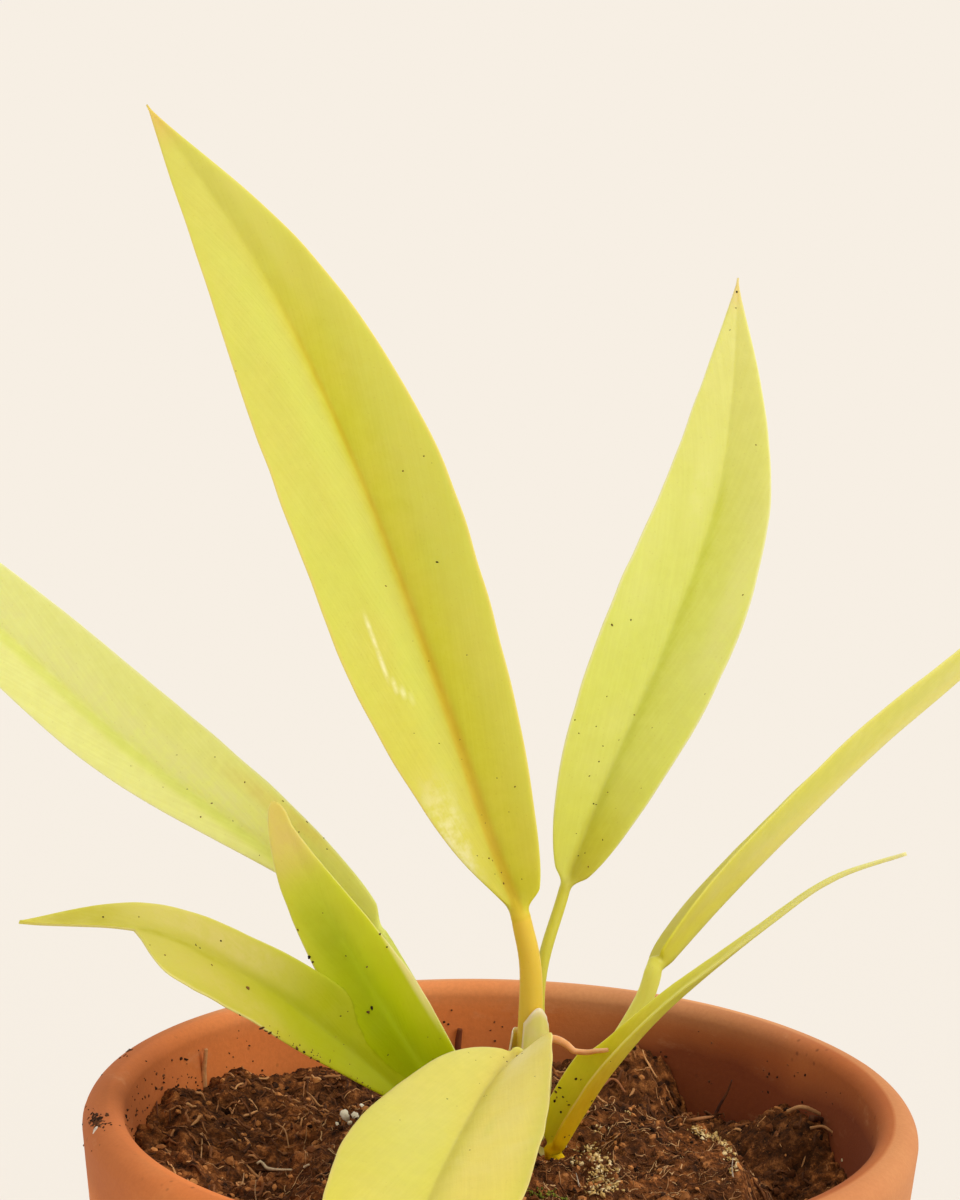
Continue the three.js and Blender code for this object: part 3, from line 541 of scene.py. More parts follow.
# Colours along each blade, and its bands. A band is a colour and its weight, where it starts and ends across
# in mm from the midrib (left is negative) with the softness of both borders, the same along the blade as t,
# and how much noise breaks it up. cloud is the strength of pale clouds, and rim_from where the rim is full.
LOOKS = {
    "leaf_tall": {
        "base": (212, 204, 80), "middle": (200, 201, 90), "end": (202, 199, 96), "margin": (222, 188, 106),
        "tip": (220, 164, 100), "stem": (224, 192, 66), "specular": 0.3, "rim": 0.6,
        "bands": [
            # painted shade in the fold right of the midrib
            ((204, 200, 18), 0.75, -0.9, 5.0, 1.0, 4.6, -0.1, 0.76, 0.1, 0.12, 0.1),
            ((216, 172, 20), 0.5, -0.7, 0.9, 0.4, 0.7, -0.1, 0.36, 0.1, 0.22, 0.1),
            ((206, 174, 10), 0.45, -0.2, 0.5, 0.25, 0.35, 0.2, 0.7, 0.1, 0.1, 0.2),
            # painted highlights: pale glints on the wrinkles of the left half near the base
            ((240, 234, 190), 0.8, -8.0, -3.2, 1.4, 1.4, 0.06, 0.17, 0.03, 0.04, 0.9),
            # painted highlight: a curved line of glints on the left half
            ((246, 242, 206), 0.8, -7.1, -6.6, 0.3, 0.3, 0.305, 0.375, 0.012, 0.012, 0.8),
            ((246, 242, 206), 0.7, -6.5, -5.9, 0.3, 0.3, 0.287, 0.302, 0.005, 0.005, 0.6),
            ((246, 242, 206), 0.7, -5.7, -5.0, 0.3, 0.3, 0.278, 0.29, 0.005, 0.005, 0.6),
            ((246, 242, 206), 0.5, -4.8, -4.1, 0.3, 0.3, 0.268, 0.28, 0.005, 0.005, 0.6),
            ((208, 216, 104), 0.5, -5.0, -1.8, 1.6, 1.4, 0.15, 0.8, 0.1, 0.1, 0.3),
            # painted light: the outer right half lifted against the shade of the fold
            ((220, 216, 92), 0.4, 6.5, 12.0, 2.0, 1.5, 0.12, 0.75, 0.1, 0.1, 0.3),
            ((220, 216, 118), 0.4, 2.4, 5.0, 0.8, 1.5, 0.74, 0.92, 0.06, 0.06, 0.5),
        ],
    },
    "leaf_right": {
        "base": (210, 212, 90), "middle": (205, 211, 107), "end": (208, 205, 120), "margin": (226, 218, 168),
        "tip": (218, 168, 128), "stem": (198, 192, 62), "specular": 0.38, "rim": 0.6,
        "bands": [
            # painted shade on the shaded right half: all across it at the base, and along the fold right of
            # the midrib
            ((190, 182, 34), 0.85, -0.6, 6.0, 0.9, 3.5, -0.1, 0.13, 0.1, 0.12, 0.15),
            ((194, 200, 60), 0.5, -0.4, 3.0, 0.8, 3.0, 0.1, 0.66, 0.1, 0.1, 0.2),
            ((188, 196, 50), 0.4, 0.3, 1.3, 0.4, 0.6, 0.2, 0.68, 0.1, 0.05, 0.3),
            # painted highlight: a whitish sheen left of the midrib near the top
            ((224, 224, 148), 0.5, -4.4, -1.4, 1.0, 1.0, 0.6, 0.74, 0.06, 0.08, 0.8),
            ((220, 222, 138), 0.35, -9.5, -6.0, 1.0, 2.0, 0.4, 0.6, 0.15, 0.15, 0.4),
            ((222, 220, 148), 0.5, 5.5, 9.0, 1.4, 1.0, 0.4, 0.62, 0.1, 0.1, 0.3),
        ],
    },
    "leaf_far_left": {
        # The base colour is made paler, painted light on the base of the leaf that lies in shade.
        "base": (228, 232, 118), "middle": (231, 235, 145), "end": (236, 238, 162), "margin": (232, 226, 166),
        "tip": (218, 182, 122), "stem": (200, 206, 84), "specular": 0.42, "rim": 0.5,
        "bands": [
            ((210, 220, 92), 0.55, -1.6, -0.1, 0.7, 0.35, 0.12, 0.75, 0.1, 0.2, 0.1),
            ((230, 229, 150), 0.6, -7.0, -1.8, 0.8, 0.6, 0.1, 0.9, 0.1, 0.1, 0.25),
            # painted highlight: a mottled silvery sheen above the midrib
            ((236, 234, 166), 0.5, 0.4, 4.4, 0.5, 1.6, 0.16, 0.8, 0.08, 0.1, 0.85),
            ((226, 194, 104), 0.5, 4.8, 7.2, 1.0, 1.0, 0.1, 0.26, 0.05, 0.06, 0.3),
            ((150, 160, 30), 0.7, -3.6, -2.6, 0.4, 0.6, 0.15, 0.18, 0.02, 0.02, 0.4),
        ],
    },
    "leaf_front": {
        "base": (222, 206, 106), "middle": (209, 202, 86), "end": (210, 200, 78), "margin": (222, 192, 120),
        "tip": (212, 170, 104), "stem": (212, 204, 90), "specular": 0.26, "rim": 0.45,
        "bands": [
            # painted shade along the fold just left of the midrib
            ((206, 190, 80), 0.6, -2.0, -0.1, 1.6, 0.3, 0.02, 0.8, 0.05, 0.2, 0.1),
            # the paler left half and its cream lobe by the notch: partly their own colour, partly painted
            # light on the half that faces away from the key light
            ((250, 222, 108), 0.8, -12.0, -2.5, 2.5, 2.0, 0.02, 0.6, 0.05, 0.2, 0.15),
            ((248, 222, 130), 0.5, -6.5, -2.0, 1.5, 1.5, 0.02, 0.14, 0.03, 0.06, 0.3),
            ((204, 200, 60), 0.4, -5.5, -4.0, 0.8, 0.8, 0.3, 0.36, 0.04, 0.04, 0.2),
            ((218, 214, 110), 0.35, 1.5, 8.0, 1.5, 3.0, 0.05, 0.7, 0.05, 0.2, 0.2),
        ],
    },
    "leaf_far_right": {
        "base": (196, 188, 40), "middle": (214, 208, 104), "end": (226, 219, 132), "margin": (222, 206, 134),
        "tip": (214, 178, 120), "stem": (226, 222, 98), "specular": 0.33, "rim": 0.3,
        "bands": [
            ((224, 214, 132), 0.42, -4.4, 3.4, 1.6, 1.6, 0.17, 0.3, 0.05, 0.08, 0.35),
            ((228, 220, 154), 0.55, -1.6, 1.2, 1.0, 0.9, 0.26, 0.5, 0.06, 0.1, 0.25),
            ((202, 204, 76), 0.5, 3.0, 7.6, 1.4, 1.0, 0.2, 0.7, 0.08, 0.1, 0.2),
            ((200, 202, 70), 0.5, -7.0, -4.6, 1.0, 1.2, 0.2, 0.7, 0.08, 0.1, 0.2),
        ],
    },
    "leaf_strap": {
        "base": (232, 190, 0), "middle": (216, 211, 86), "end": (224, 216, 140), "margin": (224, 214, 150),
        "tip": (222, 206, 150), "stem": (216, 174, 0), "specular": 0.04, "rim": 0.3, "cloud": 0.02,
        "bands": [
            ((202, 204, 40), 0.8, -6.0, -0.4, 0.5, 0.6, -0.1, 0.3, 0.1, 0.1, 0.15),
            ((214, 164, 0), 0.6, 0.3, 4.0, 0.5, 0.5, -0.1, 0.22, 0.1, 0.1, 0.2),
        ],
    },
    "blunt_lobe": {
        "base": (134, 146, 0), "middle": (166, 180, 0), "end": (202, 200, 74), "margin": (222, 206, 146),
        "tip": (212, 188, 108), "stem": (154, 162, 0), "specular": 0.05, "rim": 0.35, "rim_from": 0.3,
        "cloud": 0.03,
        "bands": [
            ((140, 156, 0), 0.6, -3.8, 1.0, 1.4, 1.6, 0.05, 0.7, 0.1, 0.12, 0.15),
            ((190, 192, 44), 0.45, 3.0, 6.4, 1.6, 0.8, 0.25, 0.74, 0.1, 0.1, 0.3),
            ((226, 210, 156), 0.75, 5.2, 6.6, 0.4, 0.3, 0.28, 0.6, 0.1, 0.1, 0.1),
            ((216, 186, 122), 0.75, -6.6, 6.6, 1.0, 1.0, 0.82, 1.1, 0.08, 0.1, 0.2),
        ],
    },
    "low_lobe": {
        "base": (138, 144, 0), "middle": (172, 167, 42), "end": (192, 184, 98), "margin": (218, 206, 148),
        "tip": (184, 172, 60), "stem": (146, 154, 0), "specular": 0.05, "rim": 0.5, "rim_from": 0.5,
        "cloud": 0.05,
        "bands": [
            ((156, 166, 4), 0.75, -5.0, 7.0, 1.6, 1.0, 0.0, 0.46, 0.1, 0.14, 0.25),
            ((204, 190, 126), 0.55, 1.0, 5.4, 1.0, 1.4, 0.44, 0.76, 0.1, 0.1, 0.5),
            ((158, 154, 18), 0.55, -1.6, -0.4, 0.6, 0.6, 0.56, 0.78, 0.06, 0.04, 0.4),
            ((200, 184, 106), 0.4, -8.0, -3.0, 2.0, 2.0, 0.4, 0.7, 0.1, 0.1, 0.6),
            ((162, 156, 12), 0.5, -4.0, 3.0, 1.0, 1.0, 0.8, 0.96, 0.05, 0.05, 0.3),
        ],
    },
}


def leaf_material(name):
    """Blade colour from base to tip with bands, among them painted shade, painted light and painted
    highlights, margin, tip, parallel veins, mottling and satin gloss.
    """
    look = {key: srgb(*value) if isinstance(value, tuple) else value for key, value in LOOKS[name].items()}
    nodes = Nodes(f"{name}_surface", roughness=0.42, specular=look["specular"])
    glow(nodes, 0.62, (1.0, 0.9, 0.4), 0.0025)
    fraction, t, vein = nodes.separate(nodes.attribute("leaf").outputs["Vector"])
    offset = nodes.attribute("offset").outputs["Fac"]
    place = nodes.place()
    edge = nodes.math("ABSOLUTE", fraction)
    body = nodes.ramp(t, (0.0, look["base"]), (0.42, look["middle"]), (0.92, look["end"]))
    streak = nodes.noise(nodes.combine(vein, nodes.times(t, 3.0), 0.0), 2.2, 2, 0.6)
    quilt = nodes.noise(place, 420, 3, 0.6)
    broken = nodes.math("ADD", nodes.times(quilt, 0.75), nodes.times(streak, 0.25))
    broken = nodes.step(broken, 0.38, 0.62)
    for colour, weight, *borders, breaks in look["bands"]:
        share = nodes.band(offset, *borders[:4])
        share = nodes.times(share, nodes.band(t, *borders[4:]))
        ragged = nodes.math("SUBTRACT", 1.0, nodes.times(broken, breaks))
        share = nodes.times(share, nodes.times(ragged, weight))
        body = nodes.mix(share, body, srgb(*colour))
    cloud = nodes.noise(place, 75, 4)
    body = nodes.mix(nodes.step(cloud, 0.4, 0.75, 0.0, look.get("cloud", 0.14)), body, look["margin"])
    body = nodes.mix(nodes.step(quilt, 0.35, 0.7, 0.07, 0.0), body, srgb(150, 140, 10))
    body = nodes.mix(nodes.step(streak, 0.42, 0.62, 0.05, 0.0), body, srgb(170, 160, 10))
    full = look.get("rim_from", 0.16)
    rim = nodes.step(t, full - 0.14, full, 0.0, look["rim"])
    rim = nodes.times(nodes.step(edge, 0.95, 0.998), rim)
    body = nodes.mix(rim, body, look["margin"])
    body = nodes.mix(nodes.step(t, 0.93, 1.0, 0.0, 0.55), body, look["tip"])
    body = nodes.mix(nodes.step(t, -0.02, 0.02, 1.0, 0.0), body, look["stem"])
    fleck = nodes.cells(place, 900)
    body = nodes.mix(nodes.step(fleck, 0.0, 0.16, 0.16, 0.0), body, srgb(150, 110, 30))
    grain = nodes.noise(place, 2600, 2)
    normal = nodes.bump(grain, 0.00002, 0.5)
    normal = nodes.bump(quilt, 0.0001, 0.5, normal)
    normal = nodes.bump(streak, 0.00005, 0.5, normal)
    gloss = nodes.step(nodes.noise(place, 140, 3), 0.3, 0.7, 0.34, 0.52)
    return nodes.finish(body, normal, gloss)


def add_leaf(name, spec, seed):
    vertices, faces, attributes = leaf_skin(spec, seed)
    return add_piece(f"{name}_blade", vertices, faces, leaf_material(name), name, attributes)


def add_two_lobed():
    """One leaf with a blunt upright lobe and a long low one, fused where they cross."""
    pieces = []
    for seed, (name, spec) in enumerate(LOBES.items(), 60):
        vertices, faces, attributes = leaf_skin(spec, seed)
        material = leaf_material(name)
        pieces.append(add_piece(f"leaf_{name}", vertices, faces, material, None, attributes))
    upright, low = pieces
    join = low.modifiers.new("join", "BOOLEAN")
    join.operation = "UNION"
    join.solver = "MANIFOLD"
    join.material_mode = "TRANSFER"
    join.object = upright
    bpy.context.view_layer.update()
    joined = low.evaluated_get(bpy.context.evaluated_depsgraph_get())
    mesh = bpy.data.meshes.new_from_object(joined)
    low.modifiers.clear()
    low.data = mesh
    bpy.data.objects.remove(upright)
    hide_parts("leaf_two_lobed")
    return low


# Stem pieces
SHEATH = {"base": 100.6, "middle": 41.5, "open": 26.5, "wall": 0.4, "inside": (2.3, 2.8, 2.95, 2.45),
          "height": 15.9, "rise": 4.2, "peak": -62, "spread": 55}
CROWN_BASE = [(3.6, 84), (4.5, 84.6)]
ROOT_PATH = [(6.6, 5, 115.9), (8, 4, 116), (9.2, 3, 115.7), (10.2, 2.2, 115.1), (10.95, 2, 115),
             (12.3, 1.45, 115.15), (13.3, 1.05, 115.5), (14.3, 0.6, 115.75), (15.1, 0.25, 116)]


def skin_material(name, pale, deep, scale=300, weight=0.4, rim=None):
    """Living skin with soft clouds of a deeper colour, and a rim colour where the edge attribute says so."""
    nodes = Nodes(name, roughness=0.45, specular=0.4)
    glow(nodes, weight, (1.0, 0.6, 0.3), 0.0015)
    place = nodes.place()
    cloud = nodes.noise(place, scale, 3)
    colour = nodes.mix(nodes.step(cloud, 0.35, 0.7), pale, deep)
    if rim:
        colour = nodes.mix(nodes.attribute("edge").outputs["Fac"], colour, rim)
    fine = nodes.noise(place, scale * 7, 2)
    return nodes.finish(colour, nodes.bump(fine, 0.00003, 0.6))


def add_crown():
    """The crown's dome, slightly three-sided."""
    segments, levels, bulge = 48, 15, 0.03
    rise = np.linspace(0, math.pi / 2, levels + 1)[:-1]
    dome = [(CROWN_RADII[0] * math.cos(a), CROWN_CENTRE[2] + CROWN_RADII[2] * math.sin(a)) for a in rise]
    angle = np.linspace(0, 2 * np.pi, segments, endpoint=False)
    rings = np.array([[(r * math.cos(a), r * math.sin(a), z) for a in angle] for r, z in CROWN_BASE + dome])
    rings *= 1 + bulge * np.sin(3 * angle)[None, :, None] * np.array([1, 1, 0])
    rings += np.array([CROWN_CENTRE[0], CROWN_CENTRE[1], 0])
    vertices, faces = lofted(rings)
    material = skin_material("crown_skin", srgb(196, 178, 96), srgb(150, 138, 60))
    add_piece("crown_stub", vertices, faces, material, "crown_stem")


def add_sheath():
    """A wrap of thin papery tissue around the tall leaf's stem, higher on one side and open on the other."""
    steps, levels = 84, 30
    azimuth, elevation, via, _ = LEAVES["leaf_tall"]["stem"]
    foot = [over_crown(azimuth, elevation, 0.35), over_crown(azimuth, elevation, 2)]
    axis, _ = curve_points([*foot, *via, LEAVES["leaf_tall"]["rib"][0]], np.linspace(0, 1, 200))
    turn = np.linspace(-180 + SHEATH["open"], 180 - SHEATH["open"], steps + 1)
    angle = np.radians(SHEATH["middle"] + turn)[:, None]
    high = bell((SHEATH["middle"] + turn - SHEATH["peak"]) / SHEATH["spread"])
    top = (SHEATH["height"] + SHEATH["rise"] * high)[:, None]
    top = top + 0.25 * lattice_noise(turn / 18, 0 * turn, 33)[:, None]
    share = np.linspace(0, 1, levels + 1)[None, :]
    z = SHEATH["base"] + top * share
    cx, cy = np.interp(z, axis[:, 2], axis[:, 0]), np.interp(z, axis[:, 2], axis[:, 1])
    rings = []
    thin = SHEATH["wall"] * (1 - 0.6 * share**3)
    for wall in (0 * thin, thin):
        r = along(SHEATH["inside"], share[0])[None, :] + wall
        r = r + 0.08 * lattice_noise(turn[:, None] / 14 + 0 * share, share * 4 + 0 * turn[:, None], 31)
        rings.append(np.stack([cx + r * np.cos(angle), cy + r * np.sin(angle), z], 2))
    vertices, faces = lofted(np.concatenate([rings[0], rings[1][:, ::-1]], 1))
    border = np.maximum(smooth(0.95, 1, np.abs(turn) / turn.max())[:, None], smooth(0.93, 1, share))
    border = np.concatenate([border, border[:, ::-1]], 1).ravel()
    pale, deep, rim = srgb(222, 206, 108), srgb(226, 202, 130), srgb(240, 214, 180)
    material = skin_material("sheath_skin", pale, deep, 220, 0.6, rim)
    add_piece("sheath_wrap", vertices, faces, material, "stem_sheath", {"edge": border})


def tube(points, radii, sides, count):
    """Vertices and faces of a closed round tube along a smooth curve through points, in count rings."""
    centres, ahead = curve_points(points, np.linspace(0, 1, count))
    radii = np.interp(np.linspace(0, 1, len(centres)), np.linspace(0, 1, len(radii)), radii)
    side = np.cross(ahead, [0.13, 0.31, 0.94])
    side /= np.maximum(np.linalg.norm(side, axis=1), 1e-6)[:, None]
    other = np.cross(ahead, side)
    angle = np.linspace(0, 2 * np.pi, sides, endpoint=False)
    ring = np.cos(angle)[None, :, None] * side[:, None] + np.sin(angle)[None, :, None] * other[:, None]
    return lofted(centres[:, None] + radii[:, None, None] * ring)


def add_aerial_root():
    vertices, faces = tube(ROOT_PATH, (0.62, 0.58, 0.5, 0.44, 0.4, 0.36, 0.3), 20, 60)
    material = skin_material("root_skin", srgb(242, 186, 134), srgb(232, 162, 98), 350, 0.35)
    add_piece("aerial_root_fine", vertices, faces, material, "aerial_root")


# Pot
RIM_RADIUS, POT_HEIGHT, FOOT_RADIUS, WALL, FLOOR, DRAIN_RADIUS = 60, 108, 40, 6, 8, 8
COLLAR_BASE, COLLAR_RADIUS, BODY_TOP_RADIUS = 81, 57.705, 54.705
OUTER_LIP, INNER_LIP, COVE, FOOT_WALL = 3.2, 2.2, 3, 3.5
INSIDE_TOP, INSIDE_FLOOR = RIM_RADIUS - WALL, FOOT_RADIUS - FOOT_WALL
INSIDE_SLOPE = (INSIDE_TOP - INSIDE_FLOOR) / (POT_HEIGHT - INNER_LIP - FLOOR)


def inside_radius(z):
    return INSIDE_FLOOR + (z - FLOOR) * INSIDE_SLOPE


def arc(r, z, radius, start, end, steps):
    angle = np.radians(np.linspace(start, end, steps + 1))
    return [(r + radius * math.cos(a), z + radius * math.sin(a)) for a in angle]


def straight(start, end, steps):
    """Points from start up to, but without, end."""
    return [tuple(p) for p in np.linspace(start, end, steps, endpoint=False)]


def pot_material():
    """Unglazed fired clay: cloudy orange, damp patches, pale bloom, grain and faint turning lines, with
    painted light on the right outer side, the back lip and the left inner wall, and painted shade on the left
    rim and the right inner wall.
    """
    nodes = Nodes("terracotta_clay", roughness=0.86, specular=0.25)
    place = nodes.place()
    x, y, z = nodes.separate(place)
    cloud = nodes.noise(place, 38, 4, 0.6)
    deep, clay, pale = srgb(198, 108, 52), srgb(211, 121, 61), srgb(219, 137, 78)
    colour = nodes.ramp(cloud, (0.3, deep), (0.5, clay), (0.72, pale))
    inner = nodes.attribute("inner").outputs["Fac"]
    outer = nodes.math("SUBTRACT", 1.0, inner)
    # painted light: the outer clay paler towards the lit right side
    painted_sunlit_side = nodes.times(nodes.step(x, 0.015, 0.058, 0.0, 0.5), outer)
    colour = nodes.mix(painted_sunlit_side, colour, srgb(192, 146, 102))
    # painted light on the top of the back lip
    lip = nodes.step(z, 0.1035, 0.1072)
    painted_lit_back_lip = nodes.times(nodes.step(y, 0.02, 0.05, 0.0, 0.6), lip)
    colour = nodes.mix(painted_lit_back_lip, colour, srgb(236, 176, 124))
    # painted light: the left inner wall brighter orange, as lit from the right
    painted_lit_left_wall = nodes.times(nodes.step(x, -0.004, 0.014, 0.55, 0.0), inner)
    colour = nodes.mix(painted_lit_left_wall, colour, srgb(238, 136, 68))
    shaded = nodes.step(x, -0.056, -0.04, 0.5, 0.0)
    shaded = nodes.times(shaded, nodes.step(y, 0.034, 0.046, 1.0, 0.0))
    band = nodes.band(z, 0.098, 0.12, 0.003, 0.003)
    colour = nodes.mix(nodes.times(shaded, band), colour, srgb(158, 88, 46))
    damp = nodes.noise(place, 22, 3, 0.5)
    # damp patches on the inner wall, many times stronger towards the right, where they are painted shade as
    # well as damp
    damp_and_painted_shade = nodes.times(nodes.step(damp, 0.3, 0.6, 0.5, 1.0), inner)
    damp_and_painted_shade = nodes.times(damp_and_painted_shade, nodes.step(x, -0.016, 0.04, 0.05, 1.75))
    damp_and_painted_shade = nodes.times(damp_and_painted_shade, nodes.step(z, 0.097, 0.107, 1.0, 0.3), clamp=True)
    colour = nodes.mix(nodes.times(damp_and_painted_shade, 0.86), colour, srgb(102, 38, 16))
    bloom = nodes.noise(nodes.combine(x, y, nodes.times(z, 2.5)), 90, 5, 0.65)
    colour = nodes.mix(nodes.step(bloom, 0.58, 0.8, 0.0, 0.35), colour, srgb(226, 172, 124))
    dirty = nodes.step(nodes.cells(place, 420), 0.05, 0.2, 1.0, 0.0)
    dirty = nodes.times(dirty, nodes.step(nodes.noise(place, 70, 2), 0.52, 0.66))
    colour = nodes.mix(nodes.times(dirty, 0.6), colour, srgb(86, 46, 28))
    grain = nodes.noise(place, 1500, 4, 0.7)
    colour = nodes.mix(nodes.step(grain, 0.35, 0.65, 0.0, 0.12), colour, srgb(150, 76, 42))
    lines = nodes.noise(nodes.combine(0.0, 0.0, z), 900, 2)
    normal = nodes.bump(lines, 0.00006, 0.35)
    normal = nodes.bump(grain, 0.00008, 0.6, normal)
    return nodes.finish(colour, normal, nodes.step(cloud, 0.3, 0.7, 0.78, 0.92))


def add_pot():
    """The pot, turned about its axis, with a slight unevenness all round."""
    outside = straight((DRAIN_RADIUS, 0), (FOOT_RADIUS - 1, 0), 6)
    outside += arc(FOOT_RADIUS - 1, 1, 1, -90, -10, 4)
    outside += straight((FOOT_RADIUS + 0.2, 2), (BODY_TOP_RADIUS - 0.2, COLLAR_BASE - 1.6), 40)
    outside += [(BODY_TOP_RADIUS - 0.1, COLLAR_BASE - 1.2), (BODY_TOP_RADIUS + 0.3, COLLAR_BASE - 0.4)]
    outside += [(BODY_TOP_RADIUS + 1, COLLAR_BASE), (COLLAR_RADIUS - 1.2, COLLAR_BASE)]
    outside += arc(COLLAR_RADIUS - 1, COLLAR_BASE + 1, 1, -90, 0, 4)
    outside += straight((COLLAR_RADIUS + 0.05, COLLAR_BASE + 2), (RIM_RADIUS, POT_HEIGHT - OUTER_LIP), 14)
    outside += arc(RIM_RADIUS - OUTER_LIP, POT_HEIGHT - OUTER_LIP, OUTER_LIP, 0, 90, 12)
    inside = arc(INSIDE_TOP + INNER_LIP, POT_HEIGHT - INNER_LIP, INNER_LIP, 90, 180, 10)
    cove_top = (inside_radius(FLOOR + COVE), FLOOR + COVE)
    inside += straight((INSIDE_TOP, POT_HEIGHT - INNER_LIP), cove_top, 50)[1:]
    inside += [cove_top, (inside_radius(FLOOR) - COVE, FLOOR)]
    inside += [(DRAIN_RADIUS, FLOOR), (DRAIN_RADIUS, FLOOR / 2)]
    segments = 320
    vertices, faces = turned(outside + inside, segments)
    inner = np.tile(np.r_[np.zeros(len(outside)), np.ones(len(inside))], segments)
    angle = np.arctan2(vertices[:, 1], vertices[:, 0])
    turn = angle / (2 * np.pi) * 64
    drift = 0.12 * lattice_noise(turn / 4, vertices[:, 2] / 16, 3)
    drift += 0.03 * lattice_noise(turn, vertices[:, 2] / 5, 4)
    drift *= smooth(3, 12, vertices[:, 2]) * np.where(inner > 0, 0.3, 1.0)
    radius = np.hypot(vertices[:, 0], vertices[:, 1])
    drift = np.minimum(drift, np.where(inner > 0, 0.1, RIM_RADIUS + 0.1 - radius))
    vertices[:, :2] *= (1 + drift / radius)[:, None]
    add_piece("pot_clay", vertices, faces, pot_material(), "pot", {"inner": inner})


# Soil: the CAD model's root ball, ring and hollow, with crumbs. WALL_LINE is its height at the wall
# as (azimuth, z), and CAVITIES are small deep hollows as (x, y, depth, radius).
ROOT_BALL = {"x": 4, "y": -8, "radius": 34, "top": 101, "slope": (30.5, 37.5)}
RING = {"height": 91.5, "rise": 8, "towards": 150, "dip": 1.5, "dip_at": 42, "dip_reach": 6}
CROWN_HOLLOW = {"depth": 2.6, "reach": 9}
WALL_LINE = [(0, 92.5), (14, 93.2), (19, 95.2), (22, 97.8), (26, 99.2), (31, 98.9), (36, 96.2), (44, 93.7),
             (50, 92.3), (56, 92.5), (62, 99.8), (67, 100), (80, 97), (126, 97.2), (135, 98), (141, 100),
             (162, 100), (175, 100.2), (200, 97), (230, 96), (300, 96), (330, 94), (360, 92.5)]
CAVITIES = [(12, 0.5, 5.0, 2.8), (-34.8, -4, 3.0, 3.0), (13.5, -12.5, 2.0, 1.6)]
GRID = 300
SOIL_REACH = INSIDE_TOP - 1.2
FLOOR_GAP = 0.35


def soil_height(x, y):
    """Height of the mix: the root ball, the ring around it, and crumbs of several sizes on both."""
    x, y = np.asarray(x, float), np.asarray(y, float)
    wander = 1.6 * layered_noise(x, y, 9, 11, 3)
    distance = np.hypot(x - ROOT_BALL["x"], y - ROOT_BALL["y"]) + wander
    azimuth = np.arctan2(y, x)
    low = RING["height"] + RING["rise"] * (0.5 + 0.5 * np.cos(azimuth - math.radians(RING["towards"])))
    line = np.interp(np.degrees(azimuth) % 360, *np.transpose(WALL_LINE))
    low = low + (line - low) * smooth(38, 51, np.hypot(x, y))
    low = low - RING["dip"] * bell((distance - RING["dip_at"]) / RING["dip_reach"])
    ball = 1 - smooth(*ROOT_BALL["slope"], distance)
    broad = 0.8 * np.sin(0.33 * x + 1.3) * np.sin(0.29 * y + 0.4) + 0.5 * np.sin(0.47 * x - 0.41 * y)
    from_crown = np.hypot(x - CROWN_CENTRE[0], y - CROWN_CENTRE[1])
    hollow = CROWN_HOLLOW["depth"] * bell(from_crown / CROWN_HOLLOW["reach"])
    height = low + (ROOT_BALL["top"] - low) * ball + broad - hollow
    for cx, cy, depth, radius in CAVITIES:
        height = height - depth * bell(np.hypot(x - cx, y - cy) / radius)
    loose = 1 - 0.45 * ball
    height = height + loose * 0.9 * layered_noise(x, y, 5, 21, 4)
    height = height + loose * 1.2 * (domes(x, y, 3.1, 5) - 0.4) + 0.5 * (domes(x, y, 1.5, 6) - 0.4)
    return height + 0.3 * (domes(x, y, 0.8, 7) - 0.4) + 0.32 * layered_noise(x, y, 0.9, 41, 3)


def disc_grid(count):
    """A square grid mapped onto the unit disc."""
    a, b = np.meshgrid(np.linspace(-1, 1, count + 1), np.linspace(-1, 1, count + 1), indexing="ij")
    wide = np.abs(a) >= np.abs(b)
    with np.errstate(divide="ignore", invalid="ignore"):
        phi = np.where(wide, np.pi / 4 * b / a, np.pi / 2 - np.pi / 4 * a / b)
    phi = np.nan_to_num(phi)
    r = np.where(wide, a, b)
    return r * np.cos(phi), r * np.sin(phi)


DARK_EARTH, BROWN_EARTH, RED_EARTH = srgb(40, 20, 8), srgb(120, 68, 30), srgb(204, 130, 70)


def earth_material():
    """Peat and coir: brown crumbs, reddish fibres, and painted shade, near black, in the hollows that the
    hollow attribute marks, all matt.
    """
    nodes = Nodes("soil_mix", roughness=0.95, specular=0.15)
    place = nodes.place()
    patch = nodes.noise(place, 90, 4, 0.6)
    fine = nodes.noise(place, 520, 5, 0.7)
    colour = nodes.ramp(fine, (0.34, DARK_EARTH), (0.52, BROWN_EARTH), (0.68, RED_EARTH))
    colour = nodes.mix(nodes.step(patch, 0.38, 0.6, 0.55, 0.0), colour, DARK_EARTH)
    strand = nodes.noise(place, 1500, 3, 0.6, 1.5)
    colour = nodes.mix(nodes.step(strand, 0.6, 0.72, 0.0, 0.5), colour, RED_EARTH)
    # painted shade: near black where the hollow attribute is high
    colour = nodes.mix(nodes.attribute("hollow").outputs["Fac"], colour, srgb(16, 7, 3))
    height = nodes.math("ADD", fine, nodes.times(strand, 0.4))
    return nodes.finish(colour, nodes.bump(height, 0.0009, 1.0))


def blurred(values, reach):
    """Mean of a square grid over windows of 2 * reach + 1 cells each way."""
    kernel = np.ones(2 * reach + 1) / (2 * reach + 1)
    for axis in (0, 1):
        before, after = (np.repeat(values.take([end], axis), reach, axis) for end in (0, -1))
        padded = np.concatenate([before, values, after], axis)
        values = np.apply_along_axis(np.convolve, axis, padded, kernel, "valid")
    return values


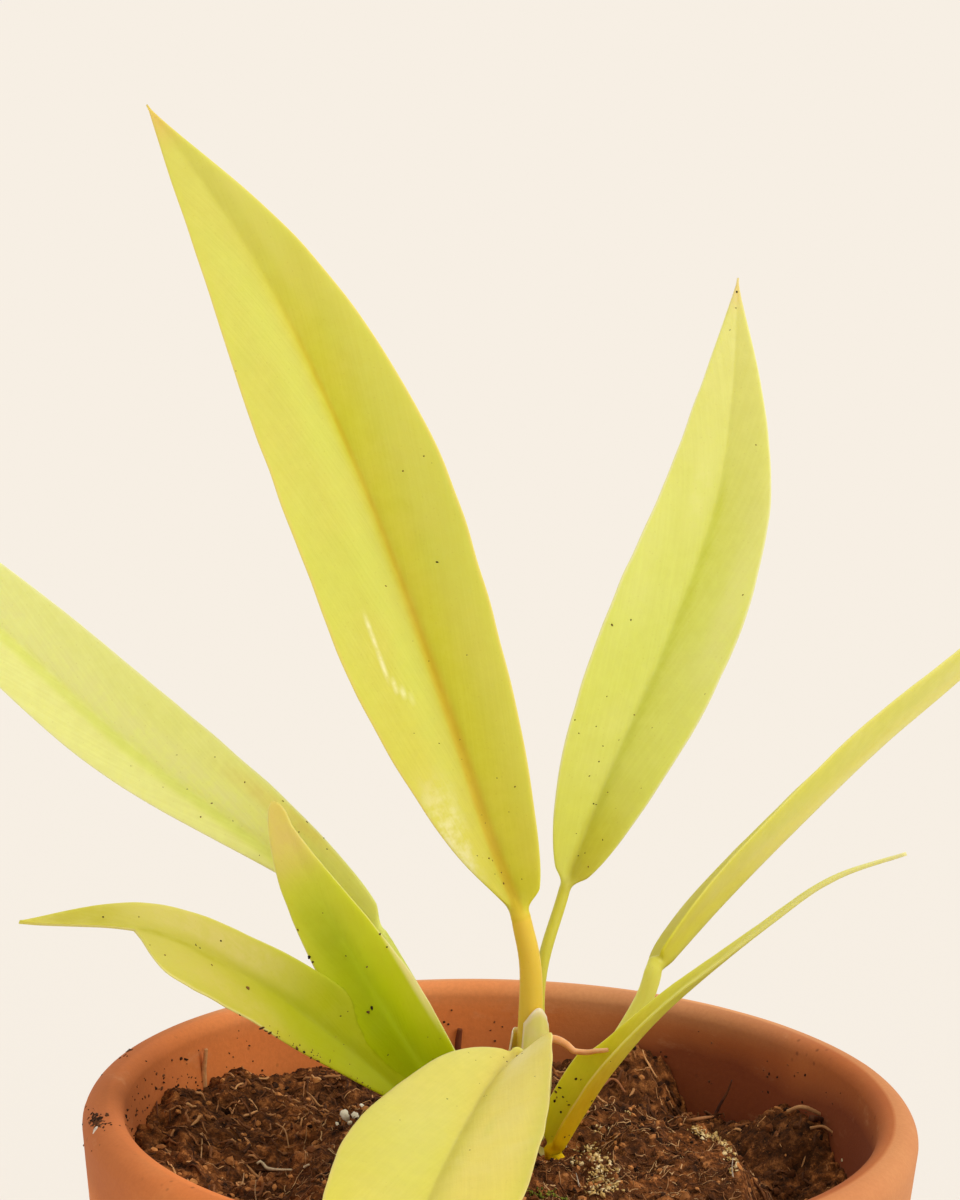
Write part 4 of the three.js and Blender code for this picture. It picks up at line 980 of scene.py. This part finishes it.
def add_soil():
    """The lump of mix: a rough top over the whole pot, and one skin down to the pot's floor."""
    u, v = disc_grid(GRID)
    z = soil_height(u * SOIL_REACH, v * SOIL_REACH)
    # hollow marks painted shade: how far a point lies below the mean height around it
    hollow = 0.85 * np.maximum(smooth(0.0, 1.2, blurred(z, 5) - z), smooth(0.5, 3.0, blurred(z, 14) - z))
    wall = inside_radius(z) - 0.08
    x, y = u * wall, v * wall
    top = np.stack([x, y, z], 2).reshape(-1, 3)
    faces = grid_faces(GRID + 1, GRID + 1, closed=False).tolist()
    n = GRID + 1
    rim = [i * n for i in range(n)] + [(n - 1) * n + j for j in range(1, n)]
    rim += [i * n + n - 1 for i in range(n - 2, -1, -1)] + list(range(n - 2, 0, -1))
    floor = inside_radius(FLOOR) - COVE - FLOOR_GAP
    base = top[rim] / np.linalg.norm(top[rim][:, :2], axis=1)[:, None] * floor
    base[:, 2] = FLOOR + FLOOR_GAP
    start = len(top)
    vertices = np.concatenate([top, base])
    count = len(rim)
    for k in range(count):
        after = (k + 1) % count
        faces.append([rim[after], rim[k], start + k, start + after])
    faces.append([start + k for k in range(count)])
    hollow = np.r_[hollow.ravel(), np.zeros(len(base))]
    piece = add_piece("soil_bed", vertices, faces, earth_material(), "soil", {"hollow": hollow})
    work = bmesh.new()
    work.from_mesh(piece.data)
    bmesh.ops.recalc_face_normals(work, faces=work.faces)
    work.to_mesh(piece.data)
    work.free()


def ball_template(subdivisions):
    """Vertices and faces of a unit ball of triangles."""
    work = bmesh.new()
    bmesh.ops.create_icosphere(work, subdivisions=subdivisions, radius=1)
    work.verts.index_update()
    vertices = np.array([v.co[:] for v in work.verts])
    faces = np.array([[v.index for v in f.verts] for f in work.faces])
    work.free()
    return vertices, faces


def gathered(lumps, faces, tints):
    """Lumps that share one set of faces, as vertices, faces and a tint a vertex."""
    count = len(lumps[0])
    all_faces = np.concatenate([faces + k * count for k in range(len(lumps))])
    return np.concatenate(lumps), all_faces, np.repeat(tints, count)


def scattered(places, sizes, rng, subdivisions, rough, squash):
    """Rough lumps at the given places, each with its own shape and turn, with a tint a lump."""
    template, faces = ball_template(subdivisions)
    lumps, tints = [], []
    for place, size in zip(places, sizes):
        lump = template * (1 + rough * rng.uniform(-1, 1, (len(template), 1)))
        lump = lump * np.asarray(squash) * rng.uniform(0.7, 1.3, 3)
        turn = Matrix.Rotation(rng.uniform(0, FULL_TURN), 3, Vector(rng.uniform(-1, 1, 3)))
        lumps.append(lump @ np.array(turn) * size + place)
        tints.append(rng.uniform())
    return gathered(lumps, faces, tints)


def on_soil(rng, count, margin):
    """Random places on the soil's surface, clear of the crown and at least margin off the wall."""
    r = (INSIDE_TOP - margin) * np.sqrt(rng.uniform(0, 1, count))
    a = rng.uniform(0, 2 * np.pi, count)
    x, y = r * np.cos(a), r * np.sin(a)
    clear = np.hypot(x - CROWN_CENTRE[0], y - CROWN_CENTRE[1]) > CROWN_RADII[0] + 0.5
    x, y = x[clear], y[clear]
    return np.stack([x, y, soil_height(x, y)], 1)


def tinted_material(name, tones, roughness=0.95, bump=0.0004, own=0.7):
    """Loose bits in three tones, each of its own tint to the share own, with mottling and grain."""
    nodes = Nodes(name, roughness=roughness, specular=0.2)
    place = nodes.place()
    tint = nodes.attribute("tint").outputs["Fac"]
    fine = nodes.noise(place, 900, 4, 0.65)
    value = nodes.math("ADD", nodes.times(tint, own), nodes.times(fine, 1 - own))
    colour = nodes.ramp(value, *[(place, srgb(*tone)) for place, tone in zip((0.15, 0.5, 0.85), tones)])
    return nodes.finish(colour, nodes.bump(fine, bump, 0.8))


def add_bits(name, bits, material, smooth=True):
    """Loose bits with a tint a bit, as one piece."""
    vertices, faces, tints = bits
    add_piece(name, vertices, faces, material, None, {"tint": tints}, smooth)


def add_crumbs():
    rng = np.random.RandomState(7)
    places = on_soil(rng, 1500, 3.0)
    sizes = 0.35 + 0.75 * rng.beta(1.2, 3.5, len(places))
    places[:, 2] += 0.15 * sizes
    material = tinted_material("crumb_mix", [(38, 20, 8), (112, 64, 30), (206, 138, 78)])
    add_bits("soil_crumbs", scattered(places, sizes, rng, 1, 0.3, (1.0, 0.8, 0.7)), material, smooth=False)


def add_fibres(name, seed, starts, lengths, thickness, curl, tones, sides):
    """Coir fibres and fine roots that lie on the mix, a few of them standing out of it, as one piece."""
    rng = np.random.RandomState(seed)
    vertices, faces, tints, total = [], [], [], 0
    steps, rows = 8, 7
    limit = INSIDE_TOP - 2.2
    for start in starts:
        length = rng.uniform(*lengths)
        turn = rng.uniform(0, 2 * np.pi) + np.cumsum(rng.normal(0, curl, steps))
        path = start[:2] + np.cumsum(np.stack([np.cos(turn), np.sin(turn)], 1) * length / steps, 0)
        path *= np.minimum(1, limit / np.maximum(np.hypot(path[:, 0], path[:, 1]), 1e-6))[:, None]
        radius = rng.choice(thickness)
        z = soil_height(path[:, 0], path[:, 1]) + radius
        z = np.maximum(z, np.linspace(z[0], z[-1], steps) - 0.3)
        z = z + rng.choice([0, 0, 0, 0.8]) * np.linspace(0, 1, steps) ** 2
        skin, skin_faces = tube(np.column_stack([path, z]), (radius, radius, radius * 0.5), sides, rows)
        vertices.append(skin)
        faces += [[i + total for i in face] for face in skin_faces]
        tints.append(np.full(len(skin), rng.uniform() ** 1.7))
        total += len(skin)
    material = tinted_material(f"{name}_coir", tones, 0.8, 0.0001)
    add_bits(name, (np.concatenate(vertices), faces, np.concatenate(tints)), material)


def add_coir():
    """Fine fibres on the root ball, and short thick curved bits in the looser ring around it."""
    rng = np.random.RandomState(19)
    places = on_soil(rng, 6500, 4.5)
    on_ball = np.hypot(places[:, 0] - ROOT_BALL["x"], places[:, 1] - ROOT_BALL["y"]) < ROOT_BALL["radius"] + 1
    ball, ring = places[on_ball], places[~on_ball]
    pale = [(84, 46, 22), (148, 94, 52), (226, 182, 128)]
    deep = [(70, 38, 17), (134, 82, 44), (216, 160, 104)]
    add_fibres("coir_fibres", 23, ball[:2600], (1.0, 3.8), (0.05, 0.06, 0.08, 0.11), 0.26, pale, 3)
    add_fibres("coir_bits", 24, ring[:1200], (1.4, 4.2), (0.08, 0.12, 0.16, 0.24), 0.24, deep, 5)


# Single things on the mix or the clay: whether it stands, its colour, its radii along it, and its path as
# (pixel x, pixel y, height in mm over what carries it). A standing one stays at the depth of its first point.
STRANDS = {
    "white_curl": (False, (214, 194, 156), (0.2, 0.28, 0.2, 0.14),
        [(257, 1167, 0.5), (261, 1168, 1.0), (267, 1172, 0.6), (277, 1173, 0.5), (292, 1173, 0.5)]),
    "curl_bit": (False, (222, 204, 166), (0.2, 0.16), [(304, 1170, 0.4), (309, 1168, 0.5)]),
    "left_stub": (True, (222, 160, 104), (0.5, 0.42, 0.36, 0.3),
        [(204, 1081, 0), (204, 1070, 0), (205, 1060, 0), (206, 1049, 0)]),
    "dark_stub": (True, (112, 54, 30), (0.55, 0.5, 0.4), [(458, 1045, 0), (459, 1036, 0), (460, 1029, 0)]),
    "wall_root": (True, (66, 32, 17), (0.3, 0.26, 0.2, 0.1),
        [(714, 1118, 0), (720, 1105, 0), (727, 1093, 0), (732, 1080, 0)]),
    "pale_root": (False, (166, 112, 66), (0.26, 0.24, 0.2, 0.12),
        [(687, 1124, 0.5), (700, 1123, 0.7), (713, 1121, 0.7), (718, 1116, 0.9)]),
    "long_straw": (False, (190, 140, 92), (0.32, 0.34, 0.24),
        [(787, 1118, 1.0), (803, 1116, 1.4), (820, 1117, 1.2)]),
    "straw_tip": (False, (58, 30, 18), (0.5, 0.45, 0.12),
        [(811, 1126, 1.2), (819, 1119, 1.8), (827, 1112, 1.6)]),
    "short_straw": (False, (200, 148, 96), (0.24, 0.22, 0.12),
        [(810, 1132, 0.6), (823, 1131, 0.7), (833, 1134, 0.4)]),
    "white_hair": (True, (232, 222, 196), (0.12, 0.1, 0.05),
        [(579, 1186, 0), (578, 1181, 0), (576, 1173, 0)]),
    "ridge_hair": (True, (232, 222, 196), (0.12, 0.1, 0.05),
        [(733, 1178, 0), (732, 1168, 0), (733, 1158, 0)]),
    "front_hair": (True, (204, 176, 132), (0.1, 0.08, 0.05),
        [(256, 1200, 0), (255, 1190, 0), (256, 1180, 0)]),
    "slant_hair": (False, (180, 140, 94), (0.1, 0.1, 0.08),
        [(234, 1192, 0.3), (242, 1187, 0.5), (244, 1177, 0.6)]),
    "thin_hair": (False, (180, 136, 88), (0.1, 0.1, 0.08),
        [(201, 1160, 0.3), (202, 1148, 0.6), (202, 1137, 0.6)]),
    "bent_hair": (False, (176, 128, 80), (0.12, 0.12, 0.1),
        [(276, 1126, 0.4), (285, 1135, 0.7), (289, 1150, 0.4)]),
    "far_curl": (False, (158, 100, 60), (0.2, 0.22, 0.16),
        [(603, 1088, 0.4), (610, 1085, 0.9), (617, 1087, 0.9), (625, 1095, 0.4)]),
    "pale_bit": (False, (222, 204, 168), (0.5, 0.34), [(558, 1151, 0.5), (566, 1149, 0.6)]),
    "bark_flake": (False, (52, 28, 16), (0.5, 0.7, 0.4),
        [(120, 1050, 0.3), (125, 1049, 0.4), (130, 1050, 0.3)]),
    "rim_chip": (False, (228, 218, 202), (0.4, 0.55, 0.3),
        [(97, 1126, 0.3), (95, 1130, 0.35), (93, 1134, 0.25)]),
    "wall_fibre": (False, (96, 52, 28), (0.12, 0.14, 0.14, 0.1),
        [(154, 1090, 0.15), (158, 1099, 0.3), (157, 1110, 0.3), (157, 1124, 0.2), (152, 1132, 0.15)]),
}


# The pot's middle in the frame, in pixels
POT_MIDDLE = (480, 1130)


def carriers():
    """The trees of the clay and the mix, and whether a thing on it is raised along the surface's normal."""
    depsgraph = bpy.context.evaluated_depsgraph_get()
    trees = [BVHTree.FromObject(bpy.data.objects[name], depsgraph) for name in ("pot_clay", "soil_bed")]
    return list(zip(trees, (True, False)))


def seat(trees, u, v, lift=0.0):
    """Where the camera's ray through a pixel first meets the clay or the mix, raised by lift. A ray that
    misses both is moved towards the pot's middle until it meets one."""
    found = []
    share = 1.0
    middle_u, middle_v = POT_MIDDLE
    while not found:
        ray = pixel_ray(middle_u + share * (u - middle_u), middle_v + share * (v - middle_v))
        for tree, steep in trees:
            place, normal, _, distance = tree.ray_cast(CAMERA_PLACE, ray)
            if place is not None:
                found.append((distance, place, normal if steep else Vector((0, 0, 1))))
        share -= 0.005
    _, place, up = min(found, key=lambda hit: hit[0])
    return np.array(place) / MM + np.array(up) * lift


def at_depth(u, v, y):
    """Where the camera's ray through a pixel reaches the depth y."""
    ray = pixel_ray(u, v)
    return np.array(CAMERA_PLACE + ray * ((y * MM - CAMERA_PLACE.y) / ray.y)) / MM


def add_strands():
    trees = carriers()
    for name, (standing, colour, radii, path) in STRANDS.items():
        if standing:
            foot = seat(trees, *path[0])
            points = [foot - (0, 0, 1), foot] + [at_depth(u, v, foot[1]) for u, v, _ in path[1:]]
        else:
            points = [seat(trees, *point) for point in path]
        vertices, faces = tube(points, radii, 10, 24)
        nodes = Nodes(f"{name}_fibre", roughness=0.75, specular=0.25)
        mottle = nodes.noise(nodes.place(), 700, 4, 0.7)
        tone = nodes.mix(nodes.step(mottle, 0.35, 0.7, 0.0, 0.5), srgb(*colour), BROWN_EARTH)
        material = nodes.finish(tone, nodes.bump(mottle, 0.00015, 0.7))
        add_piece(name, vertices, faces, material)


def clustered(rng, centre, spread, count):
    x = centre[0] + rng.normal(0, spread, count)
    y = centre[1] + rng.normal(0, spread, count)
    return np.stack([x, y, soil_height(x, y)], 1)


# Cream lichen and mineral crust as (pixel x, pixel y, spread in pixels, count), perlite grains as (pixel x,
# pixel y, radius in mm), those out of sight as (x, y, radius), and moss as (x, y, spread, count)
LICHEN = [(586, 1150, 5, 30), (597, 1157, 6, 50), (607, 1168, 7, 60), (598, 1178, 7, 60),
          (594, 1190, 7, 50), (615, 1187, 6, 30), (577, 1163, 4, 16), (598, 1129, 4, 12), (627, 1113, 3, 6),
          (694, 1129, 3, 16), (701, 1132, 3, 18), (708, 1136, 3, 18), (716, 1140, 3, 20),
          (724, 1145, 3, 20), (729, 1152, 3, 20), (732, 1161, 3, 20), (733, 1170, 3, 16)]
PERLITE = [(345, 1118, 0.8), (355, 1117, 0.45), (362, 1108, 0.4), (350, 1124, 0.35), (337, 1125, 0.3),
           (842, 1160, 0.4)]
HIDDEN_PERLITE = [(-12, -30, 1.2), (4, -38, 1.1), (-28, -28, 1.0), (38, -10, 1.0)]
MOSS = [(7.8, -18.6, 1.0, 60), (5.6, -20.5, 0.8, 34), (-19.5, 9.4, 0.7, 20)]


def add_growth():
    rng = np.random.RandomState(29)
    trees = carriers()
    places = []
    for u, v, spread, count in LICHEN:
        for du, dv in rng.normal(0, spread, (count, 2)):
            places.append(seat(trees, u + du, v + 0.6 * dv, 0.1))
    sizes = 0.08 + 0.3 * rng.beta(1.2, 2.4, len(places))
    cream = [(128, 84, 34), (214, 178, 108), (248, 232, 188)]
    material = tinted_material("lichen_crust", cream, 0.9, own=0.45)
    add_bits("lichen_patches", scattered(places, sizes, rng, 1, 0.5, (1.5, 1.1, 0.5)), material)
    places = [seat(trees, u, v, 0.5 * size) for u, v, size in PERLITE]
    places += [(x, y, float(soil_height(x, y)) + 0.3) for x, y, _ in HIDDEN_PERLITE]
    sizes = [size for _, _, size in PERLITE + HIDDEN_PERLITE]
    material = tinted_material("perlite_foam", [(206, 186, 150), (236, 224, 196), (246, 238, 216)], 0.9)
    add_bits("perlite_grains", scattered(places, sizes, rng, 2, 0.24, (1.2, 1.0, 0.8)), material)
    places = np.concatenate([clustered(rng, (x, y), spread, count) for x, y, spread, count in MOSS])
    places[:, 2] += rng.uniform(0, 0.8, len(places))
    sizes = rng.uniform(0.12, 0.32, len(places))
    material = tinted_material("moss_tufts", [(58, 68, 10), (106, 118, 28), (150, 150, 50)], 0.8)
    add_bits("moss_patch", scattered(places, sizes, rng, 1, 0.4, (0.6, 0.6, 1.5)), material)


# Bits of soil on the clay: patches on the inner wall as (azimuth from, to, count), and single bits and heaps
# as (pixel x, pixel y, spread in pixels, count, radius in mm)
WALL_PATCHES = [(150, 200, 190), (20, 70, 30), (90, 150, 40)]
POT_BITS = [(96, 1120, 3.0, 70, 0.42), (104, 1124, 3.0, 20, 0.28), (92, 1112, 3, 8, 0.2),
            (107, 1116, 0, 1, 0.5), (111, 1125, 0, 1, 0.4), (120, 1126, 0, 1, 0.45), (135, 1139, 0, 1, 0.4),
            (81, 1124, 0, 1, 0.3), (80, 1145, 0, 1, 0.25), (102, 1075, 0, 1, 0.3), (92, 1151, 0, 1, 0.25),
            (100, 1145, 0, 1, 0.3), (86, 1107, 0, 1, 0.28), (146, 1061, 0, 1, 0.28),
            (177, 1082, 0, 1, 0.35), (176, 1087, 0, 1, 0.3), (124, 1052, 2.5, 8, 0.3)]


def add_pot_debris():
    rng = np.random.RandomState(37)
    trees = carriers()
    places, sizes = [], []
    for start, end, count in WALL_PATCHES:
        for angle in np.radians(rng.uniform(start, end, count)):
            z = POT_HEIGHT - INNER_LIP - 9 * rng.beta(1.4, 1.2)
            r = inside_radius(z)
            places.append((r * math.cos(angle), r * math.sin(angle), z))
            sizes.append(0.12 + 0.4 * rng.beta(1.1, 4))
    for u, v, spread, count, size in POT_BITS:
        for du, dv in rng.normal(0, 1, (count, 2)) * spread:
            places.append(seat(trees, u + du, v + dv, 0.4 * size))
            sizes.append(size * rng.uniform(0.7, 1.3))
    material = tinted_material("pot_debris", [(34, 19, 10), (72, 42, 24), (118, 76, 46)])
    add_bits("debris_specks", scattered(places, sizes, rng, 1, 0.3, (1, 0.8, 0.6)), material, smooth=False)


# A speck whose ray misses its leaf tries these pixels around it
NEAR_PIXELS = [(0, 0), (2, 0), (-2, 0), (0, -2), (0, 2), (4, 0), (-4, 0), (0, -4), (0, 4)]
# The piece that holds both lobes
JOINED_LOBES = "leaf_low_lobe"
# Specks on the leaves, read off the photo as (pixel x, pixel y, radius in mm)
LEAF_SPECKS = {
    "leaf_tall_blade": [
        (403, 471, 0.22), (424, 456, 0.14), (432, 463, 0.1), (437, 562, 0.3), (386, 586, 0.16),
        (467, 655, 0.16), (429, 661, 0.12), (413, 641, 0.1), (497, 778, 0.16), (509, 812, 0.1),
        (495, 874, 0.14), (236, 371, 0.12)],
    "leaf_right_blade": [
        (612, 625, 0.24), (631, 620, 0.18), (743, 595, 0.2), (705, 694, 0.14), (756, 445, 0.16),
        (730, 330, 0.16), (737, 292, 0.26), (736, 308, 0.16), (575, 720, 0.16), (603, 746, 0.14),
        (619, 740, 0.14), (585, 853, 0.2)],
    "leaf_far_left_blade": [
        (177, 755, 0.14), (215, 757, 0.16), (131, 766, 0.12), (163, 787, 0.12), (283, 801, 0.18),
        (307, 822, 0.22), (299, 832, 0.14), (324, 838, 0.16), (327, 849, 0.18)],
    "leaf_low_lobe": [
        (258, 1028, 0.4), (264, 1031, 0.45), (270, 1033, 0.4), (277, 1037, 0.3), (297, 1048, 0.35),
        (304, 1052, 0.4), (311, 1058, 0.35), (318, 1063, 0.3), (240, 1015, 0.25), (103, 917, 0.2),
        (139, 917, 0.18), (221, 941, 0.22), (212, 965, 0.2), (248, 988, 0.45), (150, 945, 0.18),
        (165, 955, 0.2), (196, 945, 0.22), (200, 948, 0.16), (274, 1052, 0.25), (330, 1062, 0.2),
        (80, 935, 0.2)],
    "leaf_blunt_lobe": [
        (309, 957, 0.45), (311, 962, 0.3), (298, 930, 0.2), (385, 922, 0.4), (388, 928, 0.35),
        (384, 934, 0.3), (387, 947, 0.22), (367, 967, 0.3), (372, 1008, 0.4), (368, 1012, 0.35),
        (323, 913, 0.16), (346, 956, 0.18)],
    "leaf_strap_blade": [
        (556, 1092, 0.4), (560, 1088, 0.35), (563, 1097, 0.3), (555, 1101, 0.35), (569, 1105, 0.25),
        (576, 1079, 0.3), (607, 1050, 0.28), (594, 1101, 0.22), (561, 1112, 0.3), (565, 1137, 0.2)],
    "leaf_front_blade": [
        (517, 1056, 0.3), (470, 1150, 0.14), (400, 1120, 0.12)],
}


def flat_specks(places, normals, sizes, rng):
    """Flat irregular bits that lie on a surface, with a tint a bit."""
    template, faces = ball_template(1)
    bits, tints = [], []
    for place, normal, size in zip(places, normals, sizes):
        bit = template * (1 + 0.35 * rng.uniform(-1, 1, (len(template), 1)))
        bit = bit * (rng.uniform(0.8, 1.5), rng.uniform(0.5, 1), 0.4)
        spin = Matrix.Rotation(rng.uniform(0, FULL_TURN), 3, "Z")
        turn = Vector(normal).to_track_quat("Z", "Y").to_matrix() @ spin
        bits.append(bit @ np.array(turn).T * size + place)
        tints.append(rng.uniform())
    return gathered(bits, faces, tints)


def add_leaf_specks():
    """Bits of soil on the leaves, seated where the camera's ray meets them, and dust at their bases."""
    rng = np.random.RandomState(43)
    depsgraph = bpy.context.evaluated_depsgraph_get()
    places, normals, sizes = [], [], []
    for name, specks in LEAF_SPECKS.items():
        source = bpy.data.objects.get(name) or bpy.data.objects[JOINED_LOBES]
        tree = BVHTree.FromObject(source, depsgraph)
        for u, v, size in specks:
            for du, dv in NEAR_PIXELS:
                place, normal, _, _ = tree.ray_cast(CAMERA_PLACE, pixel_ray(u + du, v + dv))
                if place is not None:
                    places.append(np.array(place) / MM)
                    normals.append(normal)
                    sizes.append(0.75 * size)
                    break
        count = len(source.data.vertices)
        where = np.empty(count * 3, np.float32)
        source.data.attributes["leaf"].data.foreach_get("vector", where)
        across, t = where.reshape(-1, 3)[:, 0], where.reshape(-1, 3)[:, 1]
        dusty = rng.choice(np.flatnonzero((t > 0.02) & (t < 0.3) & (np.abs(across) < 0.85)), 24)
        if name == JOINED_LOBES:
            lower = np.flatnonzero((t > 0.12) & (t < 0.45) & (across < -0.8) & (across > -0.985))
            dusty = np.concatenate([dusty, rng.choice(lower, 70)])
        for k in dusty:
            places.append(np.array(source.data.vertices[k].co) / MM)
            normals.append(source.data.vertices[k].normal)
            sizes.append(rng.uniform(0.06, 0.15))
    material = tinted_material("speck_earth", [(30, 18, 10), (66, 42, 20), (120, 84, 40)])
    add_bits("leaf_specks", flat_specks(places, normals, sizes, rng), material)


# Floor and light
FLOOR_COLOUR = (0.786, 0.752, 0.708, 1.0)
SURROUND_COLOUR = (0.9, 0.87, 0.825, 1.0)
SURROUND_STRENGTH = 0.97
SUN_TOWARDS = Vector((0.72, -0.25, 0.65)).normalized()
SUN_ENERGY = 1.5
SUN_SPREAD = math.radians(26)
SUN_COLOUR = (1.0, 0.98, 0.95)


def add_studio():
    """A plain pale floor, a soft key light from the right and an even pale surround."""
    bpy.ops.mesh.primitive_plane_add(size=24, location=(0, 0, 0))
    floor = bpy.context.object
    floor.name = "studio_floor"
    nodes = Nodes("studio_paper", roughness=1.0, specular=0.0)
    floor.data.materials.append(nodes.finish(FLOOR_COLOUR))
    sun = bpy.data.objects.new("key_light", bpy.data.lights.new("key_light", "SUN"))
    bpy.context.scene.collection.objects.link(sun)
    sun.data.energy = SUN_ENERGY
    sun.data.angle = SUN_SPREAD
    sun.data.color = SUN_COLOUR
    sun.rotation_euler = SUN_TOWARDS.to_track_quat("Z", "Y").to_euler()
    world = bpy.data.worlds.new("studio_world")
    bpy.context.scene.world = world
    world.use_nodes = True
    background = world.node_tree.nodes["Background"]
    background.inputs["Color"].default_value = SURROUND_COLOUR
    background.inputs["Strength"].default_value = SURROUND_STRENGTH
    bpy.context.scene.view_settings.view_transform = "Standard"


add_camera()
add_studio()
add_pot()
add_soil()
add_crumbs()
add_coir()
add_strands()
add_growth()
add_crown()
for number, (leaf_name, leaf_spec) in enumerate(LEAVES.items(), 50):
    add_leaf(leaf_name, leaf_spec, number)
add_two_lobed()
add_sheath()
add_aerial_root()
add_pot_debris()
add_leaf_specks()
